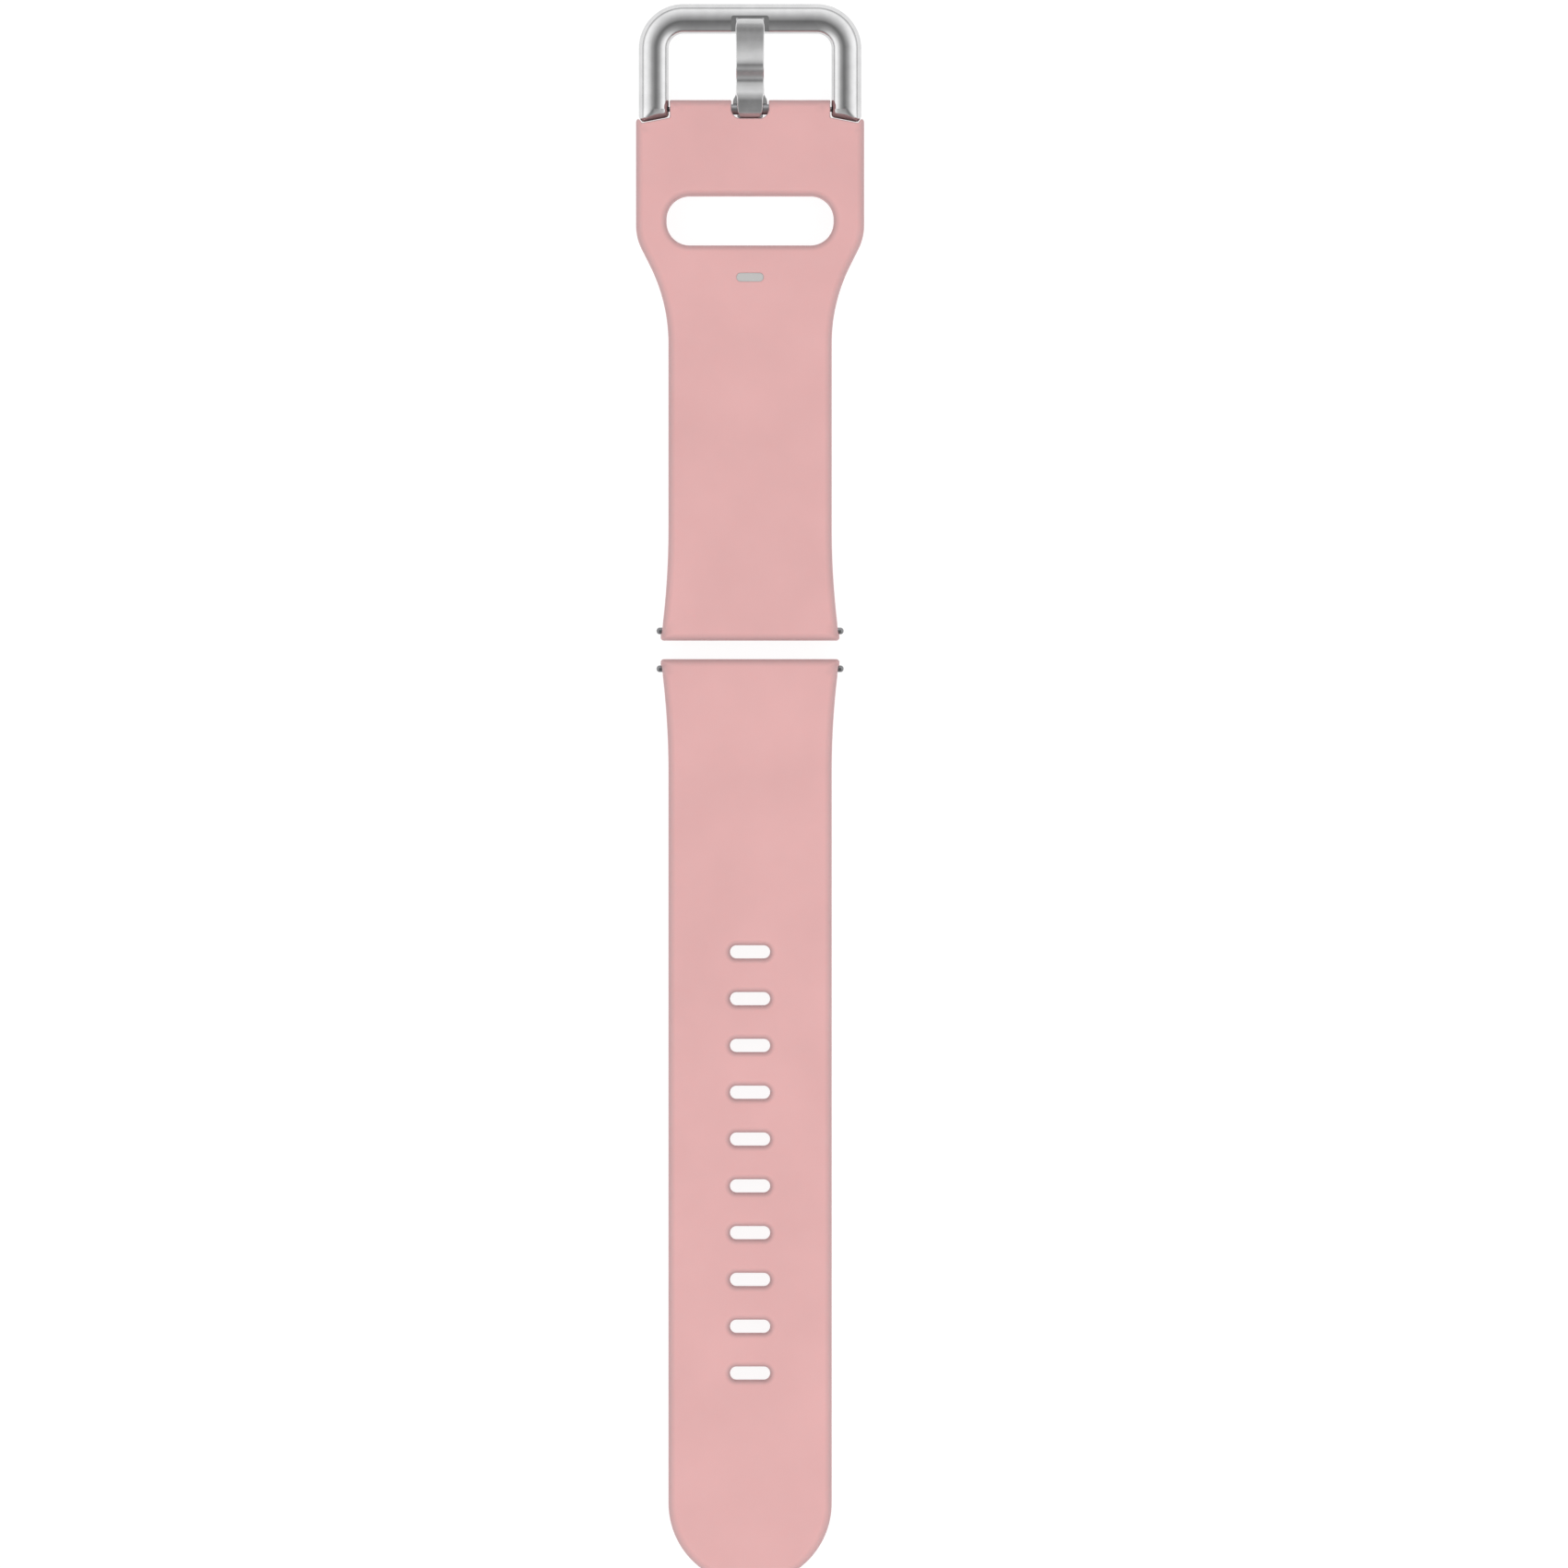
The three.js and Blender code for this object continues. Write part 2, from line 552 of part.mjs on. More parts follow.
/** Compression spring that lies loosely in a tube. */
function barSpring(tube, ends) {
  const wire = WIRE_RATIO * tube.inner;
  const section = new THREE.Shape(arc(0, 0, wire, 0, 2 * Math.PI, WIRE_SIDES).slice(0, -1));
  const geometry = new THREE.ExtrudeGeometry(section, {
    steps: TURN_STEPS * SPRING_TURNS,
    bevelEnabled: false,
    extrudePath: new Coil(tube.inner - wire - SPRING_GAP, ...ends),
  });
  return solidOf(geometry);
}

/** Flat-headed knob that stands down from a plunger through the tube's slot. */
function releaseKnob() {
  const face = KNOB_HEIGHT - PIVOT_HEIGHT;
  const neck = face + KNOB_HEAD_HEIGHT;
  const profile = [
    [0, face],
    [KNOB_HEAD_RADIUS - KNOB_CHAMFER, face],
    [KNOB_HEAD_RADIUS, face + KNOB_CHAMFER],
    [KNOB_HEAD_RADIUS, neck],
    [KNOB_STEM_RADIUS, neck + KNOB_CHAMFER],
    [KNOB_STEM_RADIUS, KNOB_STEM_TOP],
    [0, KNOB_STEM_TOP],
  ].map(([radius, z]) => new THREE.Vector2(radius, z));
  const geometry = new THREE.LatheGeometry(profile, KNOB_SIDES).rotateX(Math.PI / 2);
  return solidOf(geometry.translate(KNOB_X, 0, 0));
}

// ---------------------------------------------------------------- assembly

/** One named piece. */
function piece(name, solid, material) {
  const mesh = new THREE.Mesh(geometryOf(solid), material);
  mesh.name = name;
  return mesh;
}

/** Quick-release spring bar: tube, fixed tip, sprung plunger with its knob, and spring. */
function lugBar(name, pinY) {
  const holeRadius = KNOB_STEM_RADIUS + KNOB_HOLE_GAP;
  const holeLength = 2 * PIVOT_HEIGHT;
  const hole = new THREE.CylinderGeometry(holeRadius, holeRadius, holeLength, KNOB_SIDES)
    .rotateX(Math.PI / 2)
    .translate(KNOB_X, 0, KNOB_HOLE_TOP - holeLength / 2);
  const slotEnd = KNOB_STEM_RADIUS + KNOB_SLOT_END_GAP;
  const slotSide = KNOB_STEM_RADIUS + KNOB_SLOT_SIDE_GAP;
  const slot = block([KNOB_X - KNOB_TRAVEL - slotEnd, -slotSide, -CLEAR], [KNOB_X + slotEnd, slotSide, 0]);
  const fixedTip = barPin(LUG_TIP, LUG_TUBE).mirror([1, 0, 0]);
  const plunger = barPin(LUG_PLUNGER, LUG_TUBE).subtract(solidOf(hole));
  const bar = new THREE.Group();
  bar.position.set(0, pinY, PIVOT_HEIGHT);
  bar.add(
    piece(`${name}_bar_tube`, barTube(LUG_TUBE).subtract(slot), satinSteel),
    piece(`${name}_bar_fixed_tip`, fixedTip, pinSteel),
    piece(`${name}_bar_plunger`, plunger, pinSteel),
    piece(`${name}_release_knob`, releaseKnob(), pinSteel),
    piece(`${name}_bar_spring`, barSpring(LUG_TUBE, LUG_SPRING_ENDS), springSteel),
  );
  return bar;
}

/** Everything that sits on the buckle's pivot. */
function buckle() {
  const pin = barPin(BUCKLE_PIN, BUCKLE_TUBE);
  const group = new THREE.Group();
  group.position.set(0, pivotY, PIVOT_HEIGHT);
  group.add(
    piece('buckle_frame', buckleFrame(), polishedSteel),
    piece('buckle_tongue', buckleTongue(), satinSteel),
    piece('buckle_bar_tube', barTube(BUCKLE_TUBE), satinSteel),
    piece('buckle_bar_right_plunger', pin, pinSteel),
    piece('buckle_bar_left_plunger', pin.mirror([1, 0, 0]), pinSteel),
    piece('buckle_bar_spring', barSpring(BUCKLE_TUBE, BUCKLE_SPRING_ENDS), springSteel),
  );
  return group;
}

const band = new THREE.Group();
band.add(
  piece('buckle_strap', buckleStrap(), silicone),
  piece('hole_strap', holeStrap(), silicone),
  buckle(),
  lugBar('upper_lug', upperPinY),
  lugBar('lower_lug', lowerPinY),
);

export default band;
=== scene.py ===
# Two-piece silicone band for a fitness tracker, laid flat: its soft and polished surfaces, built round
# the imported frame. Lengths are millimetres while a piece is shaped, and metres once it is a mesh.

import json
import math

import bpy
import numpy as np
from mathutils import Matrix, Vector
from mathutils.geometry import delaunay_2d_cdt


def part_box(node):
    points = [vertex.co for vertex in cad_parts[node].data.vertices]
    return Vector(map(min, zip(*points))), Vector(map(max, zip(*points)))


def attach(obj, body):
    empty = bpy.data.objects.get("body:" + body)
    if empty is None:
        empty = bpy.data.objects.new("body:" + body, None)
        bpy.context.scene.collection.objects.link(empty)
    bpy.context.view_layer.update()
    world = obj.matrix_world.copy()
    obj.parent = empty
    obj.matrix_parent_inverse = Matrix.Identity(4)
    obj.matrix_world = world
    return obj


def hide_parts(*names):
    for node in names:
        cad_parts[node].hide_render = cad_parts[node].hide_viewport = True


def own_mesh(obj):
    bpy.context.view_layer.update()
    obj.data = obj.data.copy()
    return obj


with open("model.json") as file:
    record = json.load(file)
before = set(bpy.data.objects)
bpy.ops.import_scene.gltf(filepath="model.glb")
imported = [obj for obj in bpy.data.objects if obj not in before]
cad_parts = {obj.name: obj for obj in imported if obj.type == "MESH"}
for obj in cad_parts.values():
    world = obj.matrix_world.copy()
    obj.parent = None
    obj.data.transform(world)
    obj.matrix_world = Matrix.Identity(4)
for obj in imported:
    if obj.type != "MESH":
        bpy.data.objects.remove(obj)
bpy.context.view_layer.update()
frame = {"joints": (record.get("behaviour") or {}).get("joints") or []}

# ---------------------------------------------------------------- buckle-side strap
# Half of the band, compression-moulded in matte pink silicone. Its wide head has pockets for the
# buckle's arms, a notch for the tongue and a slot that the tail tucks through. A spring bar runs
# through the barrel at the buckle end, and another through the end that snaps between the lugs.

MM = 0.001
EDGE_ROUND = 0.8
CUTOUT_ROUND = 0.16
SLOT_ROUND = 0.7
UNDERSIDE_ROUND = 0.4
PARTING_LINE = 0.025
PARTING_RISE = 0.07
STRAP_MESH_STEP = 0.75
TOP_RINGS = 9
UNDERSIDE_RINGS = 5
POINTS_AT_ONCE = 400

SILICONE_PINK = (0.745, 0.423, 0.418)
# Painted shade: a dark colour mixed into the silicone along its rounded rims, standing in for the shade that
# falls there.
SILICONE_RIM_SHADE = (0.29, 0.235, 0.245)
GRAIN_SIZE = 0.11
NOISE_LOW = 0.3
NOISE_HIGH = 0.7


def box_mm(node):
    """Lowest and highest corner of a CAD node, in millimetres."""
    low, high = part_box(node)
    return np.array(low) / MM, np.array(high) / MM


def rounded(corners, step=0.4):
    """A closed outline from (x, y, radius) corners, each rounded by its radius."""
    places = np.array([corner[:2] for corner in corners], float)
    points = []
    for i, (_, _, radius) in enumerate(corners):
        here = places[i]
        back = places[i - 1] - here
        ahead = places[(i + 1) % len(places)] - here
        into = -back / np.linalg.norm(back)
        out = ahead / np.linalg.norm(ahead)
        turn = math.atan2(into[0] * out[1] - into[1] * out[0], into @ out)
        cut = radius * math.tan(abs(turn) / 2)
        start = here - cut * into
        side = np.array([-into[1], into[0]]) * math.copysign(1, turn)
        centre = start + radius * side
        count = max(2, round(abs(turn) / math.radians(9)), round(radius * abs(turn) / step))
        for k in range(count + 1):
            angle = abs(turn) * k / count
            points.append(centre - radius * math.cos(angle) * side + radius * math.sin(angle) * into)
    outline = []
    for a, b in zip(points, points[1:] + points[:1]):
        pieces = max(1, round(np.linalg.norm(b - a) / step))
        outline += [a + (b - a) * k / pieces for k in range(pieces)]
    return np.array([p for i, p in enumerate(outline) if np.linalg.norm(p - outline[i - 1]) > 1e-4])


def mirrored(right_side):
    """The corners of a symmetrical outline, from its right-hand ones."""
    return right_side + [(-x, y, radius) for x, y, radius in reversed(right_side)]


def slot_outline(width, height, corner, y):
    """A rounded slot across the band."""
    return rounded(mirrored([(width / 2, y + height / 2, corner), (width / 2, y - height / 2, corner)]), 0.2)


def wound(loop, anticlockwise):
    """The outline, run round in the asked direction."""
    x, y = loop.T
    area = np.sum(x * np.roll(y, -1) - y * np.roll(x, -1))
    return loop if (area > 0) == anticlockwise else loop[::-1]


def into_material(loop):
    """Unit normals to the left of the outline, where the silicone is."""
    ahead = np.roll(loop, -1, 0) - loop
    ahead /= np.linalg.norm(ahead, axis=1)[:, None]
    along = ahead + np.roll(ahead, 1, 0)
    along /= np.linalg.norm(along, axis=1)[:, None]
    return np.stack([-along[:, 1], along[:, 0]], 1)


def fitted_round(loop, normals, everything, wanted):
    """The edge rounding at each point, made smaller where the outline leaves no room for it."""
    gap = everything[None] - loop[:, None]
    reach = np.einsum("ijk,ik->ij", gap, normals)
    room = np.where(reach > 1e-5, (gap**2).sum(2) / np.maximum(2 * reach, 1e-5), np.inf).min(1)
    rounding = np.minimum(wanted, 0.85 * room)
    ahead = np.linalg.norm(np.roll(loop, -1, 0) - loop, axis=1)
    for _ in range(60):
        rounding = np.minimum(rounding, np.roll(rounding, -1) + 0.45 * ahead)
        rounding = np.minimum(rounding, np.roll(rounding, 1) + 0.45 * np.roll(ahead, 1))
    return rounding


def inside(points, loops):
    """Which points lie inside the outline and outside its openings."""
    hits = np.zeros(len(points), int)
    for loop in loops:
        x0, y0 = loop.T
        x1, y1 = np.roll(loop, -1, 0).T
        px, py = points[:, 0][:, None], points[:, 1][:, None]
        crosses = (y0 > py) != (y1 > py)
        rise = np.where(y1 == y0, 1, y1 - y0)
        hits += (crosses & (px < (x1 - x0) * (py - y0) / rise + x0)).sum(1)
    return hits % 2 == 1


def skin(loops, step):
    """Triangles over a flat region with openings: the loops' own points, then a grid between them."""
    edge = np.concatenate(loops)
    low, high = edge.min(0), edge.max(0)
    rows = np.arange(low[1], high[1], step * 0.87)
    grid = np.array([(x, y) for k, y in enumerate(rows)
                     for x in np.arange(low[0] + (k % 2) * step / 2, high[0], step)])
    grid = grid[inside(grid, loops)]
    clear = np.array([np.linalg.norm(edge - p, axis=1).min() > 0.5 * step for p in grid])
    points = np.concatenate([edge, grid[clear]])
    links = []
    start = 0
    for loop in loops:
        links += [(start + k, start + (k + 1) % len(loop)) for k in range(len(loop))]
        start += len(loop)
    made, _, triangles, *_ = delaunay_2d_cdt([Vector(p) for p in points], links, [], 0, 1e-6)
    if len(made) != len(points):
        raise ValueError("the outline crosses itself")
    triangles = np.array(triangles)
    return points, triangles[inside(points[triangles].mean(1), loops)]


def edge_fall(points, edge, radii):
    """How far the rounded edges take the surface down at each point, and how much of a rim it is."""
    falls, rims = [], []
    for some in np.array_split(points, 1 + len(points) // POINTS_AT_ONCE):
        part = np.clip(1 - np.linalg.norm(some[:, None] - edge[None], axis=2) / radii, 0, 1)
        falls.append((radii * (1 - np.sqrt(1 - part**2))).max(1))
        rims.append(np.arcsin(part.max(1)) / (math.pi / 2))
    return np.concatenate(falls), np.concatenate(rims)


def painted_rim_shade(rim):
    """How much painted shade a rim gets: most just inside the edge, a little less on the sides."""
    return np.minimum(rim**1.2, 0.62 - 0.5 * (rim - 0.6))


def moulded(outline, openings, thickness, top_round, underside_round, step):
    """A moulding of any outline: rounded rims above and below, and a parting line round its sides.
    Gives points, faces, and how much painted shade each point gets along the rims, from 0 on the flat."""
    loops = [wound(outline, True)] + [wound(hole, False) for hole in openings]
    edge = np.concatenate(loops)
    radii = np.concatenate([top_round(loop) for loop in loops])
    low_radii = np.minimum(underside_round, radii)

    def top(flat):
        fall, rim = edge_fall(flat, edge, radii)
        return thickness(flat) - fall, rim

    def underside(flat):
        return edge_fall(flat, edge, low_radii)

    points, faces, rims, tops, bottoms = [], [], [], [], []
    for loop in loops:
        normals = into_material(loop)
        wide = fitted_round(loop, normals, edge, top_round(loop))
        narrow = np.minimum(underside_round, wide)
        rings = []
        for angle in np.radians(np.linspace(90, 0, UNDERSIDE_RINGS)):
            flat = loop + normals * (narrow * (1 - math.cos(angle)))[:, None]
            rings.append((flat, *underside(flat)))
        middle = (underside(loop)[0] + top(loop)[0]) / 2
        for rise, out in ((-PARTING_RISE, 0), (0, PARTING_LINE), (PARTING_RISE, 0)):
            rings.append((loop - normals * out, middle + rise, np.ones(len(loop))))
        for angle in np.radians(np.linspace(0, 90, TOP_RINGS)):
            flat = loop + normals * (wide * (1 - math.cos(angle)))[:, None]
            rings.append((flat, *top(flat)))
        first = sum(map(len, points))
        count = len(loop)
        for flat, height, rim in rings:
            points.append(np.column_stack([flat, height]))
            rims.append(rim)
        for ring in range(len(rings) - 1):
            a = first + ring * count
            faces += [(a + k, a + (k + 1) % count, a + count + (k + 1) % count, a + count + k)
                      for k in range(count)]
        bottoms.append((rings[0][0], first))
        tops.append((rings[-1][0], first + (len(rings) - 1) * count))
    for ends, surface in ((bottoms, underside), (tops, top)):
        flat, triangles = skin([loop for loop, _ in ends], step)
        index = np.concatenate([first + np.arange(len(loop)) for loop, first in ends])
        inner = flat[len(index):]
        height, rim = surface(inner)
        index = np.concatenate([index, sum(map(len, points)) + np.arange(len(inner))])
        points.append(np.column_stack([inner, height]))
        rims.append(rim)
        faces += [tuple(index[t] if surface is top else index[t[::-1]]) for t in triangles]
    return np.concatenate(points), faces, painted_rim_shade(np.concatenate(rims))


def solid(name, points, faces, material, sharp=40):
    """A closed, smooth-shaded mesh object from points in millimetres."""
    mesh = bpy.data.meshes.new(name)
    mesh.from_pydata((np.asarray(points) * MM).tolist(), [], [tuple(map(int, face)) for face in faces])
    mesh.validate()
    mesh.materials.append(material)
    mesh.shade_smooth()
    mesh.set_sharp_from_angle(angle=math.radians(sharp))
    made = bpy.data.objects.new(name, mesh)
    bpy.context.scene.collection.objects.link(made)
    return made


def cut(body, *cutters, sharp=40):
    """Cuts each cutter, given as (points, faces), out of a piece."""
    for points, faces in cutters:
        tool = solid("cutter", points, faces, body.data.materials[0])
        modifier = body.modifiers.new("cut", "BOOLEAN")
        modifier.operation = "DIFFERENCE"
        modifier.solver = "EXACT"
        modifier.object = tool
        shaped = bpy.data.meshes.new_from_object(body.evaluated_get(bpy.context.evaluated_depsgraph_get()))
        body.modifiers.clear()
        body.data = shaped
        bpy.data.objects.remove(tool)
    body.data.shade_smooth()
    body.data.set_sharp_from_angle(angle=math.radians(sharp))
    return body


def lathe(profile, sides, closed=False):
    """Points and faces of a piece turned about X from (x, radius) points. It is closed by its ends on
    the axis, or by coming back to its first point."""
    angles = np.linspace(0, 2 * math.pi, sides, endpoint=False)
    points, rings = [], []
    for x, radius in profile:
        count = 1 if radius < 1e-6 else sides
        rings.append(range(len(points), len(points) + count))
        points += [(x, radius * math.sin(a), radius * math.cos(a)) for a in angles[:count]]
    pairs = list(zip(rings, rings[1:] + rings[:1])) if closed else list(zip(rings, rings[1:]))
    faces = []
    for a, b in pairs:
        for k in range(sides):
            near = [a[k % len(a)], a[(k + 1) % len(a)]]
            far = [b[(k + 1) % len(b)], b[k % len(b)]]
            face = list(dict.fromkeys(near + far))
            if len(face) > 2:
                faces.append(face[::-1])
    return np.array(points), faces


def bore(radius, from_x, to_x, y, z):
    """A round cutter along X."""
    points, faces = lathe([(from_x, 0), (from_x, radius), (to_x, radius), (to_x, 0)], 40)
    return points + (0, y, z), faces


def prism(outline, low, high):
    """An upright cutter with the given outline."""
    loop = wound(outline, True)
    count = len(loop)
    points = np.concatenate([np.column_stack([loop, np.full(count, z)]) for z in (low, high)])
    faces = [(k, (k + 1) % count, count + (k + 1) % count, count + k) for k in range(count)]
    return points, faces + [tuple(range(count))[::-1], tuple(range(count, 2 * count))]


def nodes_of(name):
    """A new material, with its node tree, its Principled shader and the piece's own coordinates."""
    material = bpy.data.materials.new(name)
    material.use_nodes = True
    tree = material.node_tree
    shader = tree.nodes["Principled BSDF"]
    place = tree.nodes.new("ShaderNodeTexCoord").outputs["Object"]
    return material, tree, shader, place


def noise(tree, place, size_mm, detail=2.0, stretch=(1, 1, 1)):
    """Noise whose blotches are about size_mm across, longer along any axis that is stretched."""
    mapping = tree.nodes.new("ShaderNodeMapping")
    mapping.inputs["Scale"].default_value = [1 / (size_mm * MM * s) for s in stretch]
    texture = tree.nodes.new("ShaderNodeTexNoise")
    texture.inputs["Scale"].default_value = 1.0
    texture.inputs["Detail"].default_value = detail
    tree.links.new(place, mapping.inputs["Vector"])
    tree.links.new(mapping.outputs["Vector"], texture.inputs["Vector"])
    return texture.outputs["Fac"]


def spread(tree, source, low, high):
    """The range that a noise mostly keeps to, laid over low to high."""
    node = tree.nodes.new("ShaderNodeMapRange")
    node.inputs["From Min"].default_value = NOISE_LOW
    node.inputs["From Max"].default_value = NOISE_HIGH
    node.inputs["To Min"].default_value = low
    node.inputs["To Max"].default_value = high
    tree.links.new(source, node.inputs["Value"])
    return node.outputs["Result"]


def tint(tree, amount, first, second):
    """A colour between two, by an amount from 0 to 1."""
    node = tree.nodes.new("ShaderNodeMix")
    node.data_type = "RGBA"
    for socket, value in zip(("A", "B"), (first, second)):
        target = [s for s in node.inputs if s.name == socket and s.type == "RGBA"][0]
        if isinstance(value, bpy.types.NodeSocket):
            tree.links.new(value, target)
        else:
            target.default_value = (*value, 1)
    tree.links.new(amount, node.inputs["Factor"])
    return [s for s in node.outputs if s.type == "RGBA"][0]


def relief(tree, height, depth_mm, strength=1.0, under=None):
    """A bump of the given depth, over another one."""
    node = tree.nodes.new("ShaderNodeBump")
    node.inputs["Distance"].default_value = depth_mm * MM
    node.inputs["Strength"].default_value = strength
    tree.links.new(height, node.inputs["Height"])
    if under is not None:
        tree.links.new(under, node.inputs["Normal"])
    return node.outputs["Normal"]


def silicone_material():
    """Matte pink silicone: even colour, the mould's fine blasted grain, and painted shade that darkens its
    rounded rims.
    """
    material, tree, shader, place = nodes_of("silicone_pink")
    grain = noise(tree, place, GRAIN_SIZE, 3.0)
    cloud = noise(tree, place, 9.0, 3.0)
    flow = noise(tree, place, 2.2, 2.0, (1, 6, 1))
    paler = tuple(min(1, 1.03 * c) for c in SILICONE_PINK)
    deeper = tuple(0.97 * c for c in SILICONE_PINK)
    body = tint(tree, spread(tree, cloud, 0, 1), deeper, paler)
    # Painted shade: the points' rim attribute mixes a dark colour into the silicone along its rounded rims.
    rim = tree.nodes.new("ShaderNodeAttribute")
    rim.attribute_name = "rim"
    shaded = tint(tree, rim.outputs["Fac"], body, SILICONE_RIM_SHADE)
    tree.links.new(shaded, shader.inputs["Base Color"])
    tree.links.new(spread(tree, flow, 0.52, 0.62), shader.inputs["Roughness"])
    shader.inputs["Specular IOR Level"].default_value = 0.35
    shader.inputs["Subsurface Weight"].default_value = 0.12
    shader.inputs["Subsurface Radius"].default_value = (1.0, 0.45, 0.4)
    shader.inputs["Subsurface Scale"].default_value = 0.9 * MM
    soft = relief(tree, flow, 0.012, 0.5)
    tree.links.new(relief(tree, grain, 0.006, 0.6, soft), shader.inputs["Normal"])
    return material


def eased(places):
    """A height along the band from (y, height) places, eased from each to the next."""
    ys, heights = np.array(sorted(places)).T

    def height(points):
        k = np.clip(np.searchsorted(ys, points[:, 1]) - 1, 0, len(ys) - 2)
        t = np.clip((points[:, 1] - ys[k]) / (ys[k + 1] - ys[k]), 0, 1)
        t = t * t * (3 - 2 * t)
        return heights[k] + (heights[k + 1] - heights[k]) * t

    return height


def lug_corners(lug_y, inwards):
    """Right-hand corners of a lug end: the long flare, then a small lip past the spring bar."""
    return [
        (BODY_HALF_WIDTH, lug_y + inwards * FLARE_CORNER, FLARE_RADIUS),
        (FLARE_HALF_WIDTH, lug_y + inwards * FLARE_END, LIP_ROUND),
        (LIP_HALF_WIDTH, lug_y + inwards * LIP_LENGTH, LIP_ROUND),
        (LIP_HALF_WIDTH, lug_y, LIP_CORNER),
    ]


def lug_cutters(slide, tube_node):
    """The bore for a quick-release bar, and the window that its knob is pushed through."""
    low, high = box_mm(tube_node)
    _, y, z = (low + high) / 2
    radius = (high[2] - low[2]) / 2 + BORE_GAP
    knob_low, knob_high = box_mm(tube_node.replace("bar_tube", "release_knob"))
    travel = joints[slide]["range_m"][1] / MM
    left, right = knob_low[0] - travel - WINDOW_END_GAP, knob_high[0] + WINDOW_END_GAP
    half = (knob_high[1] - knob_low[1]) / 2 + WINDOW_SIDE_GAP
    corners = [(left, y - half), (right, y - half), (right, y + half), (left, y + half)]
    window = rounded([(*corner, WINDOW_CORNER) for corner in corners])
    return bore(radius, -PAST_LUG_END, PAST_LUG_END, y, z), prism(window, -1, z)


joints = {joint["name"]: joint for joint in frame["joints"]}
pivot = np.array(joints["buckle_pivot"]["pos_m"]) / MM
strap_low, strap_high = box_mm("buckle_strap")
_, frame_high = box_mm("buckle_frame")

BODY_HALF_WIDTH = 9.05
BODY_THICKNESS = 2.2
LIP_HALF_WIDTH = 9.92
LIP_LENGTH = 0.62
LIP_CORNER = 0.35
LIP_ROUND = 0.1
FLARE_HALF_WIDTH = 9.8
FLARE_END = 0.8
FLARE_CORNER = 7.0
FLARE_RADIUS = 92
FLARE_LENGTH = 13
THICK_END_LENGTH = 2.5
WINDOW_END_GAP = 0.2
WINDOW_SIDE_GAP = 0.12
WINDOW_CORNER = 0.5
PAST_LUG_END = 14
BORE_GAP = 0.05
BUCKLE_BORE_RADIUS = 0.65
SHOULDER_FROM_BAR = 25.97
SHOULDER_RADIUS = 5.8
WAIST_RADIUS = 19.2
HEAD_CORNER = 0.5
HEAD_CORNER_FALL = 0.4
HEAD_TAPER_START = 0.6
HEAD_TAPER_END = 4.5
EAR_GAP = 0.1
EAR_WIDTH = 0.47
EAR_CORNER = 0.2
CUTOUT_CORNER = 0.12
HEAD_ANGLE = math.radians(26.6)
BARREL_HALF_WIDTH = 8.9
POCKET_Y = pivot[1] - 0.97
POCKET_SLOPE = 0.195
NOTCH_HALF_WIDTH = 2.1
NOTCH_DEPTH = 1.07
NOTCH_CORNER = 1.1
POCKET_DEPTH = 1.2
RIM_MARGIN = 0.05
TUCK_SLOT_WIDTH = 18.6
TUCK_SLOT_HEIGHT = 5.5
TUCK_SLOT_CORNER = 2.6
TUCK_SLOT_FROM_BAR = 24.1

head_half_width = strap_high[0]
barrel_end = strap_high[1]
lug_end = strap_low[1]
end_thickness = strap_high[2]
shoulder_y = frame_high[1] - SHOULDER_FROM_BAR
waist_y = shoulder_y - (head_half_width - BODY_HALF_WIDTH) / math.tan(HEAD_ANGLE)
ear_x = frame_high[0] + EAR_GAP
ear_foot_x = ear_x - EAR_WIDTH

buckle_half_corners = [
    (NOTCH_HALF_WIDTH, pivot[1] - NOTCH_DEPTH, NOTCH_CORNER),
    (NOTCH_HALF_WIDTH, barrel_end, CUTOUT_CORNER),
    (BARREL_HALF_WIDTH, barrel_end, CUTOUT_CORNER),
    (BARREL_HALF_WIDTH, POCKET_Y, CUTOUT_CORNER),
    (ear_foot_x, POCKET_Y - POCKET_SLOPE * (ear_foot_x - BARREL_HALF_WIDTH), CUTOUT_CORNER),
    (ear_x, POCKET_Y, EAR_CORNER),
    (head_half_width, POCKET_Y - HEAD_CORNER_FALL, HEAD_CORNER),
    (head_half_width, shoulder_y, SHOULDER_RADIUS),
    (BODY_HALF_WIDTH, waist_y, WAIST_RADIUS),
    *lug_corners(lug_end, 1),
]
tuck_slot_y = frame_high[1] - TUCK_SLOT_FROM_BAR
tuck_slot = slot_outline(TUCK_SLOT_WIDTH, TUCK_SLOT_HEIGHT, TUCK_SLOT_CORNER, tuck_slot_y)
buckle_half_thickness = eased([
    (barrel_end, end_thickness),
    (shoulder_y - HEAD_TAPER_START, end_thickness),
    (waist_y - HEAD_TAPER_END, BODY_THICKNESS),
    (lug_end + FLARE_LENGTH, BODY_THICKNESS),
    (lug_end + THICK_END_LENGTH, end_thickness),
    (lug_end, end_thickness),
])


def buckle_half_round(loop):
    """Crisp rims round the notch and the arm pockets, softer ones round the slot, full ones elsewhere."""
    x, y = np.abs(loop[:, 0]), loop[:, 1]
    outside = (y > barrel_end - RIM_MARGIN) | (x > head_half_width - RIM_MARGIN)
    in_notch = (x < NOTCH_HALF_WIDTH + RIM_MARGIN) & (y > pivot[1] - NOTCH_DEPTH - RIM_MARGIN)
    in_pocket = (x > BARREL_HALF_WIDTH - RIM_MARGIN) & (y > POCKET_Y - POCKET_DEPTH)
    in_slot = np.abs(loop[:, 1] - tuck_slot_y).max() < TUCK_SLOT_WIDTH / 2
    crisp = (in_notch | in_pocket) & ~outside
    return np.where(crisp, CUTOUT_ROUND, SLOT_ROUND if in_slot else EDGE_ROUND)


silicone = silicone_material()


